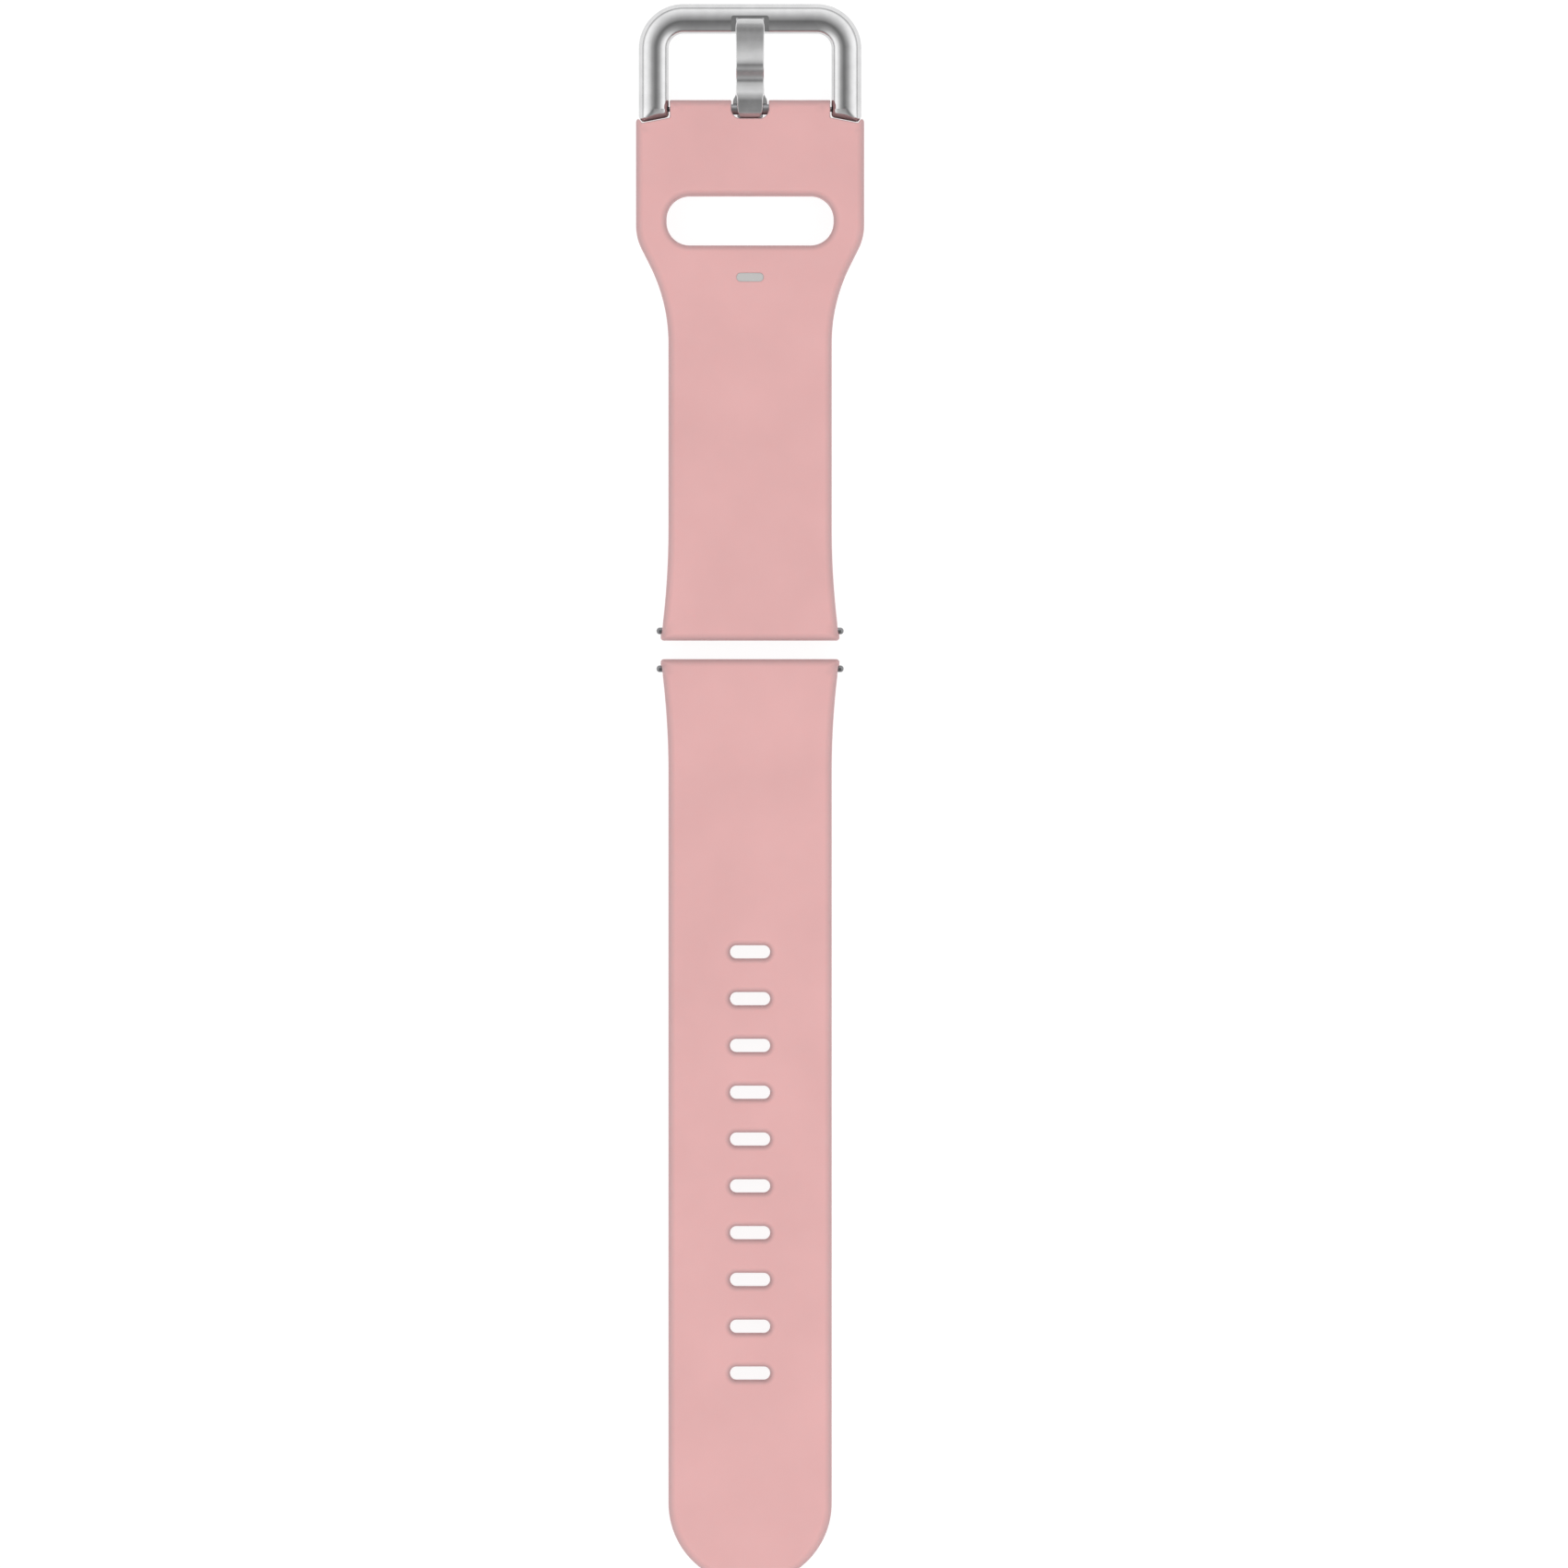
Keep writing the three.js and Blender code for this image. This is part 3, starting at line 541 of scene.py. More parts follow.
def strap(name, shape, *cutters):
    """A moulded half of the band with its bores cut, carrying the painted rim shade on its points."""
    points, faces, rim = shape
    made = solid(name, points, faces, silicone)
    attribute = made.data.attributes.new("rim", "FLOAT", "POINT")
    attribute.data.foreach_set("value", rim.astype(np.float32))
    return cut(made, *cutters)


buckle_half = strap(
    "buckle_half_silicone",
    moulded(rounded(mirrored(buckle_half_corners)), [tuck_slot], buckle_half_thickness,
            buckle_half_round, UNDERSIDE_ROUND, STRAP_MESH_STEP),
    bore(BUCKLE_BORE_RADIUS, -BARREL_HALF_WIDTH - 1, BARREL_HALF_WIDTH + 1, pivot[1], pivot[2]),
    *lug_cutters("upper_release_slide", "upper_lug_bar_tube"),
)
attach(buckle_half, "buckle_half")
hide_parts("buckle_strap")

# ---------------------------------------------------------------- tail-side strap
# The other half, from the same silicone and a mould of its own: a plain tail with a half-round tip,
# ten size slots for the tongue, and the same flared lug end with its quick-release bar.

SIZE_SLOTS = 10
SIZE_SLOT_PITCH = 5.2
SIZE_SLOT_WIDTH = 4.5
SIZE_SLOT_HEIGHT = 1.5
SIZE_SLOT_CORNER = 0.74
SIZE_SLOT_ROUND = 0.6
FIRST_SIZE_SLOT = 32.5
TIP_THICKNESS = 2.0

tail_low, tail_high = box_mm("hole_strap")
tail_lug = tail_high[1]
tail_tip = tail_low[1]
tail_corners = [
    *reversed(lug_corners(tail_lug, -1)),
    (BODY_HALF_WIDTH, tail_tip, BODY_HALF_WIDTH - 0.01),
]
first_slot_y = tail_lug - FIRST_SIZE_SLOT
size_slots = [
    slot_outline(SIZE_SLOT_WIDTH, SIZE_SLOT_HEIGHT, SIZE_SLOT_CORNER, first_slot_y - k * SIZE_SLOT_PITCH)
    for k in range(SIZE_SLOTS)
]
tail_thickness = eased([
    (tail_lug, end_thickness),
    (tail_lug - THICK_END_LENGTH, end_thickness),
    (tail_lug - FLARE_LENGTH, BODY_THICKNESS),
    (tail_tip + BODY_HALF_WIDTH, BODY_THICKNESS),
    (tail_tip, TIP_THICKNESS),
])


def tail_round(loop):
    """Small rims round the size slots, full ones round the outside."""
    in_slot = np.abs(loop[:, 0]).max() < SIZE_SLOT_WIDTH
    return np.full(len(loop), SIZE_SLOT_ROUND if in_slot else EDGE_ROUND)


tail_half = strap(
    "tail_half_silicone",
    moulded(rounded(mirrored(tail_corners)), size_slots, tail_thickness, tail_round,
            UNDERSIDE_ROUND, STRAP_MESH_STEP),
    *lug_cutters("lower_release_slide", "lower_lug_bar_tube"),
)
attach(tail_half, "tail_half")
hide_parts("hole_strap")

# ---------------------------------------------------------------- printed mark
# A plain pill pad-printed in silver-grey ink on the head's face, below the tuck slot.

MARK_WIDTH = 3.0
MARK_HEIGHT = 0.95
MARK_FROM_BAR = 30.4
INK_PROUD = 0.015
INK_DEEP = 0.05
INK_ROUND = 0.02
INK_UNDER_ROUND = 0.005
INK_MESH_STEP = 0.25
INK_GREY = (0.56, 0.55, 0.54)


def ink_material():
    """Silver-grey pad-printing ink with a little metallic flake and the silicone's grain under it."""
    material, tree, shader, place = nodes_of("silver_ink")
    flake = noise(tree, place, 0.05, 2.0)
    paler = tuple(1.12 * c for c in INK_GREY)
    tree.links.new(tint(tree, spread(tree, flake, 0, 1), INK_GREY, paler), shader.inputs["Base Color"])
    tree.links.new(spread(tree, flake, 0.42, 0.6), shader.inputs["Roughness"])
    shader.inputs["Metallic"].default_value = 0.25
    tree.links.new(relief(tree, noise(tree, place, GRAIN_SIZE, 3.0), 0.005, 0.6), shader.inputs["Normal"])
    return material


mark_y = frame_high[1] - MARK_FROM_BAR
mark_points, mark_faces, _ = moulded(
    slot_outline(MARK_WIDTH, MARK_HEIGHT, MARK_HEIGHT / 2 - 0.01, mark_y),
    [],
    lambda points: np.full(len(points), INK_PROUD + INK_DEEP),
    lambda loop: np.full(len(loop), INK_ROUND),
    INK_UNDER_ROUND,
    INK_MESH_STEP,
)
mark_points[:, 2] += buckle_half_thickness(mark_points) - INK_DEEP
mark = solid("printed_mark", mark_points, mark_faces, ink_material())
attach(mark, "buckle_half")

# ---------------------------------------------------------------- buckle frame
# One length of oval steel bar bent to a U and mirror-polished. The arm ends are rounded about the
# pivot and drilled for the spring bar's pins; a shallow seat on the bar takes the tongue's tip.

BAR_HALF_WIDTH = 1.65
BAR_HALF_HEIGHT = 1.3
BEND_RADIUS = 3.3
CREST_INWARDS = 0.25
ARM_END_INNER = 0.88
ARM_END_SLOPE = 0.195
ARM_CORNER = 0.45
ARM_CORNER_FALL = 0.53
ARM_END_ROUND = 0.3
SECTION_SIDES = 72
POLISHED_STEEL = (0.70, 0.70, 0.705)


def loft(rings):
    """Points and faces over rings of equal size, with a centre point at each end."""
    count = len(rings[0])
    points = [p for ring in rings for p in ring]
    faces = []
    for near in range(0, (len(rings) - 1) * count, count):
        far = near + count
        faces += [(near + k, near + (k + 1) % count, far + (k + 1) % count, far + k) for k in range(count)]
    first, last = len(points), len(points) + 1
    points += [np.mean(rings[0], 0), np.mean(rings[-1], 0)]
    end = (len(rings) - 1) * count
    faces += [(first, (k + 1) % count, k) for k in range(count)]
    faces += [(last, end + k, end + (k + 1) % count) for k in range(count)]
    return np.array(points), faces


def steel(name, colour, roughness, grain_mm, stretch, depth_mm, worn=0.1):
    """Bare steel: a fine directional finish, with broad soft changes of polish and faint handling marks."""
    material, tree, shader, place = nodes_of(name)
    lines = noise(tree, place, grain_mm, 2.0, stretch)
    haze = noise(tree, place, 1.6, 3.0)
    marks = noise(tree, place, 0.35, 4.0, (1, 3, 1))
    darker = tuple((1 - worn) * c for c in colour)
    tree.links.new(tint(tree, spread(tree, haze, 0, 1), darker, colour), shader.inputs["Base Color"])
    shader.inputs["Metallic"].default_value = 1.0
    patches = spread(tree, marks, 0.85 * roughness, 1.15 * roughness)
    tree.links.new(patches, shader.inputs["Roughness"])
    tree.links.new(relief(tree, lines, depth_mm, 0.5), shader.inputs["Normal"])
    return material


bar_y = frame_high[1] - BAR_HALF_WIDTH
arm_x = frame_high[0] - BAR_HALF_WIDTH


def bar_path():
    """Places and outward directions along the bent bar, from one pivot to the other."""
    path = []
    bend_x, bend_y = arm_x - BEND_RADIUS, bar_y - BEND_RADIUS
    for y in np.linspace(pivot[1], bend_y, 24, endpoint=False):
        path.append(((arm_x, y), (1, 0)))
    for angle in np.radians(np.linspace(0, 90, 25)):
        out = (math.cos(angle), math.sin(angle))
        path.append(((bend_x + BEND_RADIUS * out[0], bend_y + BEND_RADIUS * out[1]), out))
    for x in np.linspace(bend_x, 0, 17)[1:-1]:
        path.append(((x, bar_y), (0, 1)))
    mirror = [((-x, y), (-ox, oy)) for (x, y), (ox, oy) in reversed(path)]
    return path + [((0, bar_y), (0, 1))] + mirror


def bar_ring(place, out, scale=1.0):
    """The oval section at a place on the bar."""
    ring = []
    for angle in np.linspace(0, 2 * math.pi, SECTION_SIDES, endpoint=False):
        across = scale * (BAR_HALF_WIDTH * math.cos(angle) - CREST_INWARDS * max(0, math.sin(angle)))
        ring.append((place[0] + across * out[0], place[1] + across * out[1],
                     pivot[2] + BAR_HALF_HEIGHT * scale * math.sin(angle)))
    return ring


def arm_reach(x):
    """How far past the pivot an arm ends: further outwards, then cut back across its outer corner."""
    across = x - arm_x + BAR_HALF_WIDTH
    past_corner = max(0, across - (2 * BAR_HALF_WIDTH - ARM_CORNER)) / ARM_CORNER
    return ARM_END_INNER + ARM_END_SLOPE * across - ARM_CORNER_FALL * past_corner


def arm_end(side):
    """Rings that round off an arm about its pivot, from the section's rim in to its middle."""
    reach_middle = ARM_END_INNER + ARM_END_SLOPE * BAR_HALF_WIDTH
    rings = []
    for scale in (1, 0.995, 0.98, 0.95, 0.91, 0.86, 0.8, 0.6, 0.4, 0.2, 0.05):
        ring = []
        depth = min(ARM_END_ROUND, (1 - scale) * BAR_HALF_WIDTH)
        pull = ARM_END_ROUND - math.sqrt(max(0, ARM_END_ROUND**2 - (ARM_END_ROUND - depth) ** 2))
        for x, _, z in bar_ring((side * arm_x, pivot[1]), (side, 0), scale):
            reach = arm_reach(side * x)
            lift = (z - pivot[2]) / BAR_HALF_HEIGHT
            fall = math.sqrt(max(0, 1 - (lift * reach_middle / reach) ** 2))
            ring.append((x, pivot[1] - max(0, reach * fall - pull), z))
        rings.append(ring)
    return rings


rings = [list(ring) for ring in reversed(arm_end(1))]
rings += [bar_ring(place, out) for place, out in bar_path()]
rings += arm_end(-1)
bar_points, bar_faces = loft(rings)
buckle = solid("buckle_polished_bar", bar_points, bar_faces,
               steel("polished_steel", POLISHED_STEEL, 0.11, 0.08, (1, 1, 1), 0.0006), sharp=35)

SEAT_HALF_WIDTH = 2.1
SEAT_DEPTH = 0.5
SEAT_LENGTH = 1.95
SEAT_CORNER = 0.3
PIN_HOLE_RADIUS = 0.33
PIN_HOLE_END = 10.4
seat_inner = bar_y - BAR_HALF_WIDTH
seat_corners = [
    (SEAT_HALF_WIDTH, seat_inner + SEAT_LENGTH, SEAT_CORNER),
    (SEAT_HALF_WIDTH, seat_inner - 1, SEAT_CORNER),
]
seat = prism(rounded(mirrored(seat_corners), 0.1), frame_high[2] - SEAT_DEPTH, frame_high[2] + 1)
cut(buckle, seat,
    bore(PIN_HOLE_RADIUS, BARREL_HALF_WIDTH - 1, PIN_HOLE_END, pivot[1], pivot[2]),
    bore(PIN_HOLE_RADIUS, -PIN_HOLE_END, 1 - BARREL_HALF_WIDTH, pivot[1], pivot[2]), sharp=30)
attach(buckle, "buckle")
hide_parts("buckle_frame")

# ---------------------------------------------------------------- buckle tongue
# A pressed strip of satin steel. Its root is rolled round the spring bar and has shoulders that fill
# the notch; the blade waves up from there to rest its tip in the seat on the bar.

TONGUE_TOP = [
    (-1.0, 0.1), (-0.92, 0.38), (-0.6, 0.68), (0, 0.87), (0.5, 0.94), (1.1, 0.98), (1.6, 0.92), (2.2, 0.75),
    (2.7, 0.62), (3.1, 0.56), (3.35, 0.6), (3.6, 0.78), (4.0, 1.14), (4.3, 1.42), (4.55, 1.6), (4.8, 1.68),
    (5.1, 1.67), (5.4, 1.61), (5.8, 1.5), (6.3, 1.37), (6.8, 1.27), (7.4, 1.19), (8.0, 1.15), (8.5, 1.13),
    (9.2, 1.13), (9.45, 1.11), (9.7, 1.05), (9.95, 0.97), (10.1, 0.9),
]
TONGUE_UNDERSIDE = [
    (-1.0, -0.1), (-0.92, -0.34), (-0.6, -0.7), (0, -0.88), (0.5, -0.78), (0.95, -0.35), (1.5, 0.05),
    (2.2, 0.18), (3.1, 0.1), (3.45, 0.22), (3.8, 0.5), (4.2, 0.88), (4.5, 1.12), (4.8, 1.22), (5.2, 1.18),
    (5.8, 1.02), (6.5, 0.9), (7.2, 0.83), (8.0, 0.82), (10.1, 0.82),
]
BLADE_HALF_WIDTHS = [
    (-1.0, 0.95), (-0.7, 1.2), (-0.3, 1.36), (0.15, 1.42), (1.3, 1.46), (1.7, 1.55), (3, 1.55), (8, 1.58),
    (9.2, 1.6), (9.7, 1.52), (10, 1.4), (10.1, 1.3),
]
SHOULDER_HALF_WIDTHS = [
    (-1.0, 1.15), (-0.92, 1.34), (-0.7, 1.4), (-0.3, 1.5), (0, 1.66), (0.25, 1.82), (0.5, 1.88), (1.1, 1.86),
    (1.5, 1.66), (1.8, 1.55),
]
SHOULDER_TOP = 0.25
SHOULDER_EDGE = 0.05
TONGUE_CORNER = 0.1
SATIN_STEEL = (0.86, 0.86, 0.865)


def smooth_through(places, at):
    """A smooth curve through places, read at each of the given stations."""
    x, y = np.array(places).T
    slope = np.gradient(y, x)
    k = np.clip(np.searchsorted(x, at) - 1, 0, len(x) - 2)
    span = x[k + 1] - x[k]
    t = np.clip((at - x[k]) / span, 0, 1)
    return ((1 + 2 * t) * (1 - t) ** 2 * y[k] + t * (1 - t) ** 2 * span * slope[k]
            + t**2 * (3 - 2 * t) * y[k + 1] + t**2 * (t - 1) * span * slope[k + 1])


def strip_ring(y, half_width, shoulder, low, high):
    """The tongue's section at a station: a rounded strip, with a ledge down each side of its root."""
    corner = min(TONGUE_CORNER, 0.49 * (high - low))
    ledge = min(max(SHOULDER_TOP, low + 1.5 * corner), high - 1.2 * corner)
    drop = min(SHOULDER_EDGE, shoulder - half_width)
    side = [(half_width, ledge + 0.1 * corner), (shoulder - drop, ledge), (shoulder, ledge - drop)]
    ring = []
    for cx, cz, start in ((1, 1, 0), (-1, 1, 90), (-1, -1, 180), (1, -1, 270)):
        reach = (half_width if cz > 0 else shoulder) - corner
        for angle in np.radians(np.linspace(start, start + 90, 7)):
            z = (high - corner if cz > 0 else low + corner) + corner * math.sin(angle)
            ring.append((cx * reach + corner * math.cos(angle), z))
        if cx == cz:
            ring += [(cz * reach * s, high if cz > 0 else low) for s in np.linspace(0.8, -0.8, 9)]
        elif cx < 0:
            ring += [(-x, z) for x, z in side]
        else:
            ring += side[::-1]
    return [(x, pivot[1] + y, pivot[2] + z) for x, z in ring]


stations = np.concatenate([
    np.linspace(-1, 2, 40),
    np.linspace(2, 8.4, 50)[1:],
    np.linspace(8.4, 10.1, 26)[1:],
])
blades = smooth_through(BLADE_HALF_WIDTHS, stations)
shoulders = np.maximum(blades, smooth_through(SHOULDER_HALF_WIDTHS, np.minimum(stations, 1.8)))
lows = smooth_through(TONGUE_UNDERSIDE, stations)
highs = smooth_through(TONGUE_TOP, stations)
rings = [strip_ring(*station) for station in zip(stations, blades, shoulders, lows, highs)]
tongue_points, tongue_faces = loft(rings)
tongue = solid("tongue_pressing", tongue_points, tongue_faces,
               steel("satin_steel", SATIN_STEEL, 0.2, 0.05, (40, 1, 1), 0.0006, 0.1))
cut(tongue, bore(BUCKLE_BORE_RADIUS, -3, 3, pivot[1], pivot[2]), sharp=35)
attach(tongue, "tongue")
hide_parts("buckle_tongue")

# ---------------------------------------------------------------- spring bars
# Three spring bars: a drawn steel tube with crimped mouths, hard turned pins, and a coil spring inside.
# The buckle's bar has two sprung pins; each lug's has one fixed tip, and one pin with a release knob.

PIN_STEEL = (0.30, 0.30, 0.31)
TUBE_STEEL = (0.42, 0.42, 0.43)
SPRING_STEEL = (0.38, 0.38, 0.39)
TURNED_SIDES = 48
TURN_STEPS = 20
WIRE_SIDES = 10
TUBE_WALL = 0.18
CRIMP = 0.1
CRIMP_LENGTH = 0.2
PIN_SEAT_INSET = 0.25
PILOT_LENGTH = 0.6
BUCKLE_PIN = (0.28, 0.38, 0.9)
FIXED_TIP = (0.38, 0.48, 1.0)
SPRUNG_PIN = (0.38, 0.48, 3.0)
BUCKLE_SPRING_RADIUS = 0.33
BUCKLE_WIRE = 0.05
BUCKLE_HALF_TURNS = 12
LUG_SPRING_RADIUS = 0.4
LUG_WIRE = 0.06
LUG_TURNS = 22
KNOB_SLOT_REACH = 0.35
KNOB_SLOT_HALF_WIDTH = 0.31
STEM_RADIUS = 0.25
STEM_HOLE_RADIUS = 0.28
STEM_HOLE = (-1.65, 0.35)
STEM_TOP = 0.3
KNOB_HEAD_HEIGHT = 0.34

pin_steel = steel("pin_steel", PIN_STEEL, 0.26, 0.04, (1, 30, 30), 0.0008, 0.2)
tube_steel = steel("tube_steel", TUBE_STEEL, 0.32, 0.05, (30, 1, 1), 0.001, 0.15)
spring_steel = steel("spring_steel", SPRING_STEEL, 0.3, 0.05, (1, 1, 1), 0.0008, 0.15)


def turned(name, corners, material, place, closed=False, flip=False):
    """A turned piece about X from (x, radius, corner radius) corners, set on its bar's axis."""
    if closed:
        profile = [tuple(p) for p in rounded(corners, 0.6)]
    else:
        below = [(corners[0][0], -5, 0), *corners, (corners[-1][0], -5, 0)]
        profile = [tuple(p) for p in rounded(below, 0.6)]
        profile = [(x, radius) for x, radius in profile if radius >= -1e-6]
        profile = [(corners[0][0], 0), *[p for p in profile if p[1] > 1e-6], (corners[-1][0], 0)]
    if flip:
        profile = [(-x, radius) for x, radius in profile][::-1]
    points, faces = lathe(profile, TURNED_SIDES, closed)
    return solid(name, points + place, faces, material, sharp=35)


def bar_tube(name, node, body):
    """The drawn tube of a spring bar, its mouths crimped in over the pins' shoulders."""
    low, high = box_mm(node)
    place = (low + high) / 2
    half, radius = (high[0] - low[0]) / 2, (high[2] - low[2]) / 2
    inner, mouth, seat = radius - TUBE_WALL, radius - TUBE_WALL - CRIMP, half - CRIMP_LENGTH
    made = turned(name, [
        (-half, mouth, 0.02), (-half, radius, 0.1), (half, radius, 0.1), (half, mouth, 0.02),
        (seat, mouth, 0.02), (seat, inner, 0.02), (-seat, inner, 0.02), (-seat, mouth, 0.02),
    ], tube_steel, place, closed=True)
    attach(made, body)
    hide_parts(node)
    return made


def bar_pin(name, node, sizes, tube_node, body):
    """A turned pin: spring pilot, shoulder inside the tube, and a round nose outside it. Its sizes are
    the nose's radius, the shoulder's radius and the shoulder's length."""
    radius, shoulder, shoulder_length = sizes
    low, high = box_mm(node)
    tube_low, tube_high = box_mm(tube_node)
    place = (tube_low + tube_high) / 2
    seat = tube_high[0] - PIN_SEAT_INSET
    right = high[0] > -low[0]
    reach = high[0] if right else -low[0]
    back = seat - shoulder_length
    made = turned(name, [
        (back - PILOT_LENGTH, 0.5 * shoulder, 0.05), (back, 0.5 * shoulder, 0.03), (back, shoulder, 0.05),
        (seat, shoulder, 0.05), (seat, radius, 0.03), (reach, radius, 0.94 * radius),
    ], pin_steel, place, flip=not right)
    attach(made, body)
    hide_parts(node)
    return made


def coil_spring(name, nodes, ends, closed, radius, wire, place, turns, body):
    """A compression spring along X, with its last turn at either end closed up or left open."""
    from_x, to_x = ends
    open_pitch = (to_x - from_x) / turns
    near, far = (2.05 * wire if shut else open_pitch for shut in closed)
    rings = []
    for turn in np.linspace(0, turns, turns * TURN_STEPS + 1):
        angle = 2 * math.pi * turn
        x = np.interp(turn, [0, 1, turns - 1, turns], [from_x, from_x + near, to_x - far, to_x])
        out = np.array([0, math.cos(angle), math.sin(angle)])
        along = np.array([open_pitch / (2 * math.pi), -radius * math.sin(angle), radius * math.cos(angle)])
        up = np.cross(along / np.linalg.norm(along), out)
        rings.append([np.array([x, 0, 0]) + radius * out + wire * (math.cos(a) * out + math.sin(a) * up)
                      for a in np.linspace(0, 2 * math.pi, WIRE_SIDES, endpoint=False)])
    points, faces = loft(rings)
    made = solid(name, points + place, faces, spring_steel)
    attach(made, body)
    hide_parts(*nodes)
    return made


bar_tube("buckle_bar_drawn_tube", "buckle_bar_tube", "buckle_half")
for side in ("left", "right"):
    bar_pin(f"buckle_bar_{side}_pin", f"buckle_bar_{side}_plunger", BUCKLE_PIN, "buckle_bar_tube",
            f"buckle_pin_{side}")
    spring_low, spring_high = box_mm("buckle_bar_spring")
    outer = spring_low[0] if side == "left" else spring_high[0]
    spring = coil_spring(f"buckle_bar_spring_{side}_half", ["buckle_bar_spring"], sorted((outer, 0)),
                         (outer < 0, outer > 0), BUCKLE_SPRING_RADIUS, BUCKLE_WIRE, pivot * (0, 1, 1),
                         BUCKLE_HALF_TURNS, "buckle_half")
    travel = joints[f"buckle_pin_{side}_slide"]["range_m"][1] / MM
    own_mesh(spring)

for lug, body in (("upper", "buckle_half"), ("lower", "tail_half")):
    tube_node = f"{lug}_lug_bar_tube"
    tube = bar_tube(f"{lug}_lug_drawn_tube", tube_node, body)
    low, high = box_mm(tube_node)
    place = (low + high) / 2
    place[0] = 0
    knob_low, knob_high = box_mm(f"{lug}_lug_release_knob")
    knob_x = (knob_low[0] + knob_high[0]) / 2
    knob_radius = (knob_high[0] - knob_low[0]) / 2
    travel = joints[f"{lug}_release_slide"]["range_m"][1] / MM
    slot_left, slot_right = knob_x - travel - KNOB_SLOT_REACH, knob_x + KNOB_SLOT_REACH
    front, back = place[1] - KNOB_SLOT_HALF_WIDTH, place[1] + KNOB_SLOT_HALF_WIDTH
    slot_corners = [(slot_left, front), (slot_right, front), (slot_right, back), (slot_left, back)]
    slot = rounded([(*corner, 0.3) for corner in slot_corners])
    cut(tube, prism(slot, place[2] - 1, place[2]), sharp=35)
    bar_pin(f"{lug}_lug_fixed_tip", f"{lug}_lug_bar_fixed_tip", FIXED_TIP, tube_node, body)
    pin = bar_pin(f"{lug}_lug_sprung_pin", f"{lug}_lug_bar_plunger", SPRUNG_PIN, tube_node, f"{lug}_release")
    bottom, top = STEM_HOLE
    stem, stem_faces = lathe([(bottom, 0), (bottom, STEM_HOLE_RADIUS), (top, STEM_HOLE_RADIUS), (top, 0)], 32)
    stem = np.column_stack([knob_x + stem[:, 1], place[1] + stem[:, 2], place[2] + stem[:, 0]])
    cut(pin, (stem, stem_faces), sharp=35)
    face = knob_low[2] - place[2]
    head_top = face + KNOB_HEAD_HEIGHT
    knob_profile = rounded([
        (face, -1, 0), (face, knob_radius, 0.1), (head_top, knob_radius, 0.08), (head_top, STEM_RADIUS, 0.05),
        (STEM_TOP, STEM_RADIUS, 0.04), (STEM_TOP, -1, 0)], 0.3)
    knob_profile = [(face, 0), *[(x, r) for x, r in knob_profile if r > 1e-6], (STEM_TOP, 0)]
    points, faces = lathe(knob_profile, TURNED_SIDES)
    points = np.column_stack([knob_x + points[:, 1], place[1] + points[:, 2], place[2] + points[:, 0]])
    knob = solid(f"{lug}_lug_knob", points, faces, pin_steel, sharp=35)
    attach(knob, f"{lug}_release")
    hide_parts(f"{lug}_lug_release_knob")
    spring_low, spring_high = box_mm(f"{lug}_lug_bar_spring")
    spring = coil_spring(f"{lug}_lug_coil_spring", [f"{lug}_lug_bar_spring"],
                         (spring_low[0], spring_high[0]), (True, True), LUG_SPRING_RADIUS, LUG_WIRE, place,
                         LUG_TURNS, body)
    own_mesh(spring)

# ---------------------------------------------------------------- studio
# A pale table under four soft boxes, which light the silicone but stay out of the steel's reflections.
# The steel reflects a sky that is darkest overhead and palest at the sides and behind, which puts a
# dark line down the polished bar. The camera looks straight down through a long lens.

FLOOR_HALF = 3.0
FLOOR_WHITE = (0.2, 0.2, 0.2)
FLOOR_GLOW = 0.88
SOFT_BOX_SIZE = (1.4, 0.8)
VIEW_WIDTH = 174.36
VIEW_CENTRE = (3.77, 1.15)
LENS = 300
SENSOR = 36

floor_mesh = bpy.data.meshes.new("table_top")
floor_mesh.from_pydata([(-FLOOR_HALF, -FLOOR_HALF, 0), (FLOOR_HALF, -FLOOR_HALF, 0),
                        (FLOOR_HALF, FLOOR_HALF, 0), (-FLOOR_HALF, FLOOR_HALF, 0)], [], [(0, 1, 2, 3)])
floor = bpy.data.objects.new("table_top", floor_mesh)
bpy.context.scene.collection.objects.link(floor)
floor_material, _, floor_shader, _ = nodes_of("pale_table")
floor_shader.inputs["Base Color"].default_value = (*FLOOR_WHITE, 1)
floor_shader.inputs["Roughness"].default_value = 0.9
floor_shader.inputs["Specular IOR Level"].default_value = 0.1
floor_shader.inputs["Emission Color"].default_value = (1, 1, 1, 1)
floor_shader.inputs["Emission Strength"].default_value = FLOOR_GLOW
floor_mesh.materials.append(floor_material)


def soft_box(name, place, size, power):
    """A rectangular soft light that faces the band's middle."""
    light = bpy.data.lights.new(name, "AREA")
    light.shape = "RECTANGLE"
    light.size, light.size_y = size
    light.energy = power
    made = bpy.data.objects.new(name, light)
    made.location = place
    made.rotation_euler = (Vector(place) * -1).to_track_quat("-Z", "Y").to_euler()
    made.visible_camera = False
    made.visible_glossy = False
    bpy.context.scene.collection.objects.link(made)
    return made


soft_box("left_soft_box", (-1.0, 0, 0.4), SOFT_BOX_SIZE, 1.6)
soft_box("right_soft_box", (1.0, 0, 0.4), SOFT_BOX_SIZE, 1.6)
soft_box("back_soft_box", (0, 1.0, 0.45), SOFT_BOX_SIZE, 1)
soft_box("front_soft_box", (0, -1.0, 0.5), SOFT_BOX_SIZE, 6)


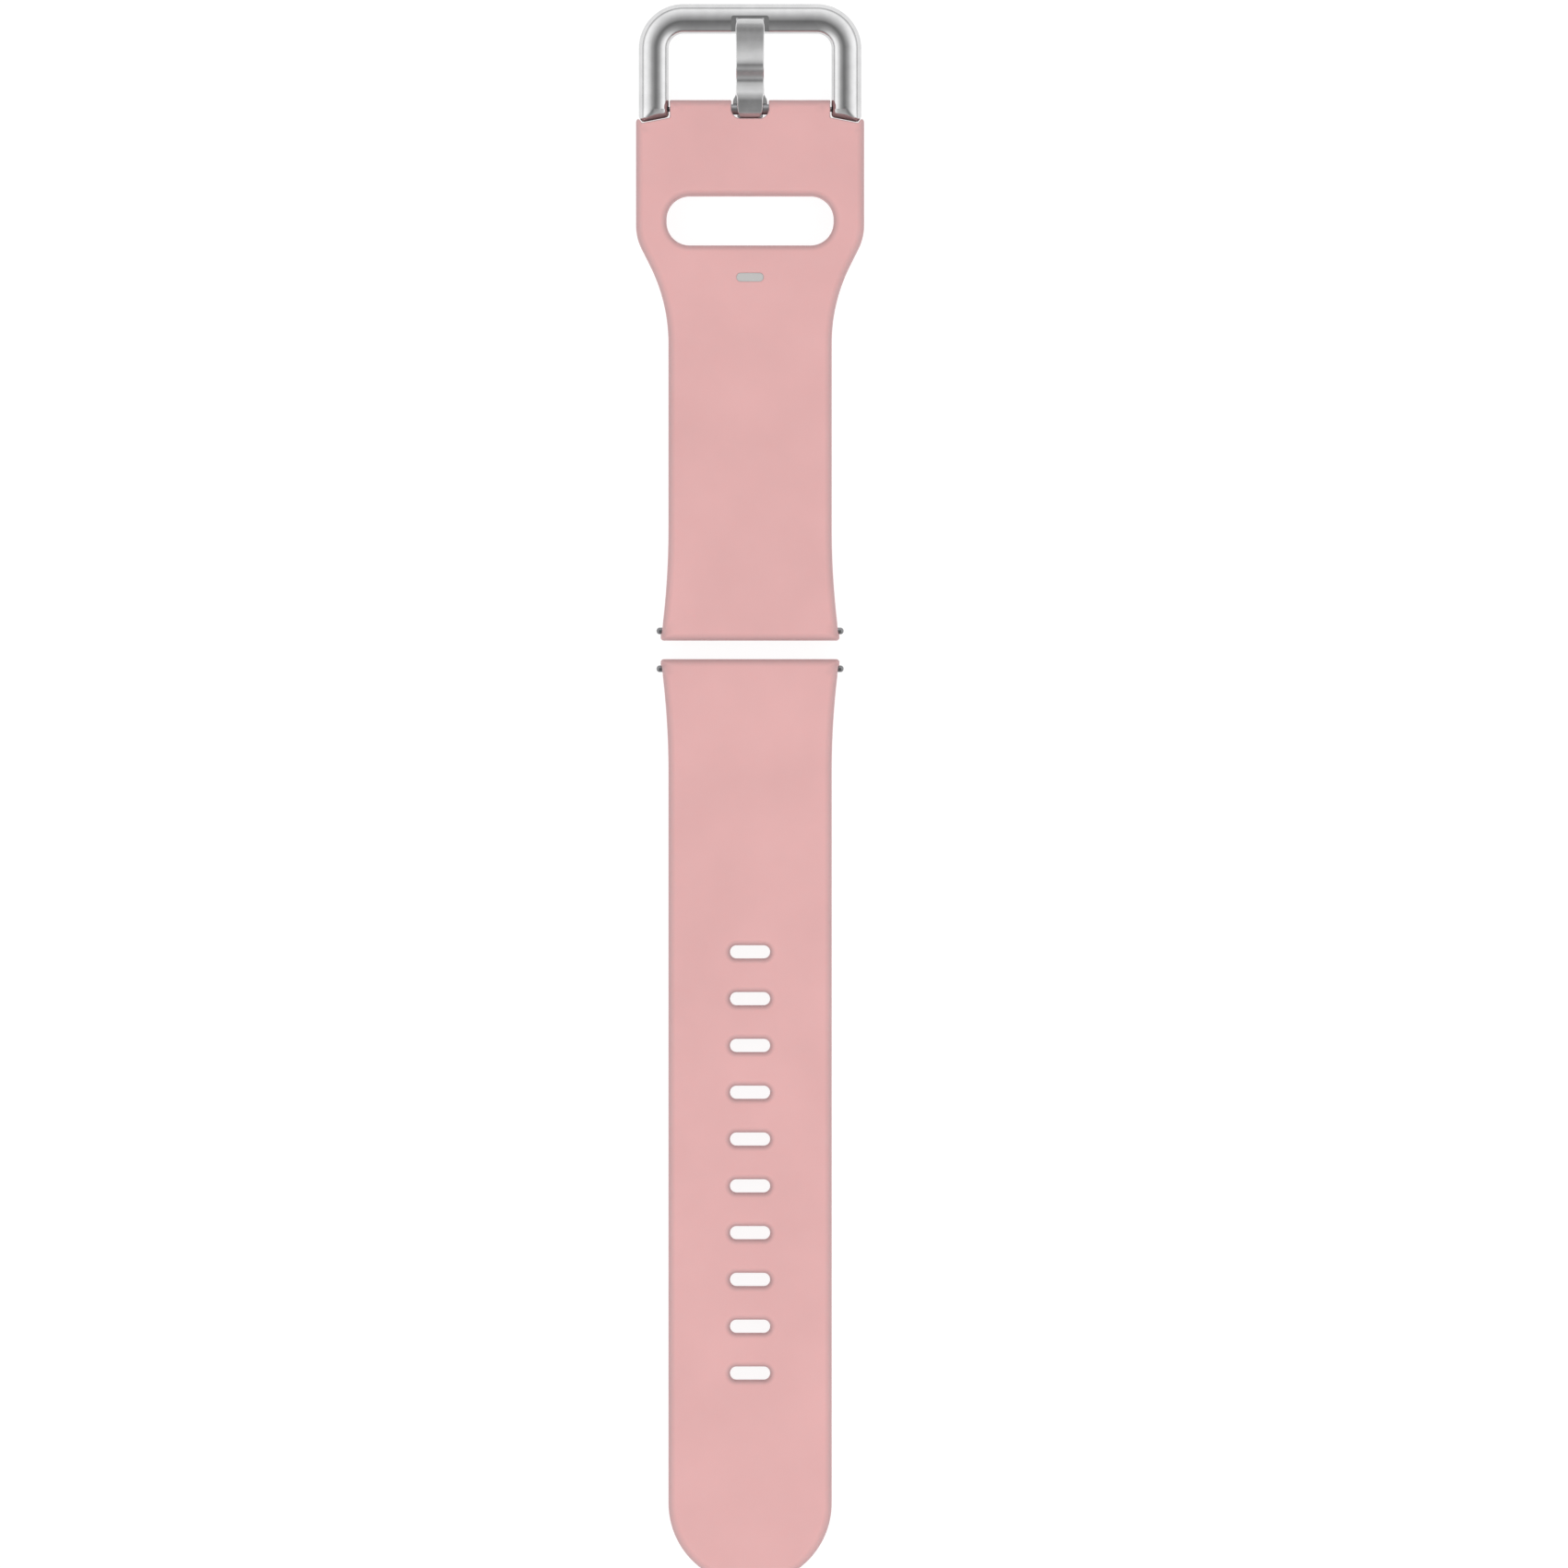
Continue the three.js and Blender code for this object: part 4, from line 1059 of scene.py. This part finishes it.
def graded(tree, source, stops):
    """A value from 0 to 1 read off (place, value) stops."""
    ramp = tree.nodes.new("ShaderNodeValToRGB")
    elements = ramp.color_ramp.elements
    while len(elements) < len(stops):
        elements.new(0.5)
    for element, (place, value) in zip(elements, stops):
        element.position = place
        element.color = (value, value, value, 1)
    tree.links.new(source, ramp.inputs["Fac"])
    return ramp.outputs["Color"]


def reckon(tree, operation, first, second=None):
    """One step of arithmetic on sockets or numbers."""
    node = tree.nodes.new("ShaderNodeMath")
    node.operation = operation
    for socket, value in zip(node.inputs, (first, second)):
        if isinstance(value, bpy.types.NodeSocket):
            tree.links.new(value, socket)
        elif value is not None:
            socket.default_value = value
    return node.outputs["Value"]


SKY_LEVEL = 1.4
ACROSS = [(0, 0.04), (0.12, 0.07), (0.4, 0.27), (0.6, 0.6), (0.78, 0.88), (0.95, 1.0)]
ALONG = [
    (0, 0.3), (0.05, 0.24), (0.25, 0.16), (0.43, 0.11), (0.5, 0.1), (0.585, 0.22), (0.695, 0.34),
    (0.795, 0.5), (0.875, 0.66), (0.95, 0.82), (1.0, 0.95),
]
HEIGHT = [(0, 0.45), (0.18, 0.55), (0.3, 0.95), (0.4, 1.0)]

world = bpy.data.worlds.new("studio")
bpy.context.scene.world = world
world.use_nodes = True
sky = world.node_tree
direction = sky.nodes.new("ShaderNodeSeparateXYZ")
sky.links.new(sky.nodes.new("ShaderNodeTexCoord").outputs["Generated"], direction.inputs["Vector"])
across = graded(sky, reckon(sky, "ABSOLUTE", direction.outputs["X"]), ACROSS)
along = graded(sky, reckon(sky, "ADD", reckon(sky, "MULTIPLY", direction.outputs["Y"], 0.5), 0.5), ALONG)
dark = reckon(sky, "MULTIPLY", reckon(sky, "SUBTRACT", 1, across), reckon(sky, "SUBTRACT", 1, along))
height = graded(sky, direction.outputs["Z"], HEIGHT)
light = reckon(sky, "MULTIPLY", reckon(sky, "MULTIPLY", reckon(sky, "SUBTRACT", 1, dark), height), SKY_LEVEL)
sky.links.new(light, sky.nodes["Background"].inputs["Strength"])
sky.nodes["Background"].inputs["Color"].default_value = (1, 1, 1, 1)

camera_data = bpy.data.cameras.new("camera")
camera_data.lens = LENS
camera_data.sensor_width = SENSOR
camera_data.clip_end = 20
camera = bpy.data.objects.new("camera", camera_data)
camera.location = (VIEW_CENTRE[0] * MM, VIEW_CENTRE[1] * MM, VIEW_WIDTH * MM * LENS / SENSOR)
bpy.context.scene.collection.objects.link(camera)
bpy.context.scene.camera = camera
bpy.context.scene.view_settings.view_transform = "Standard"
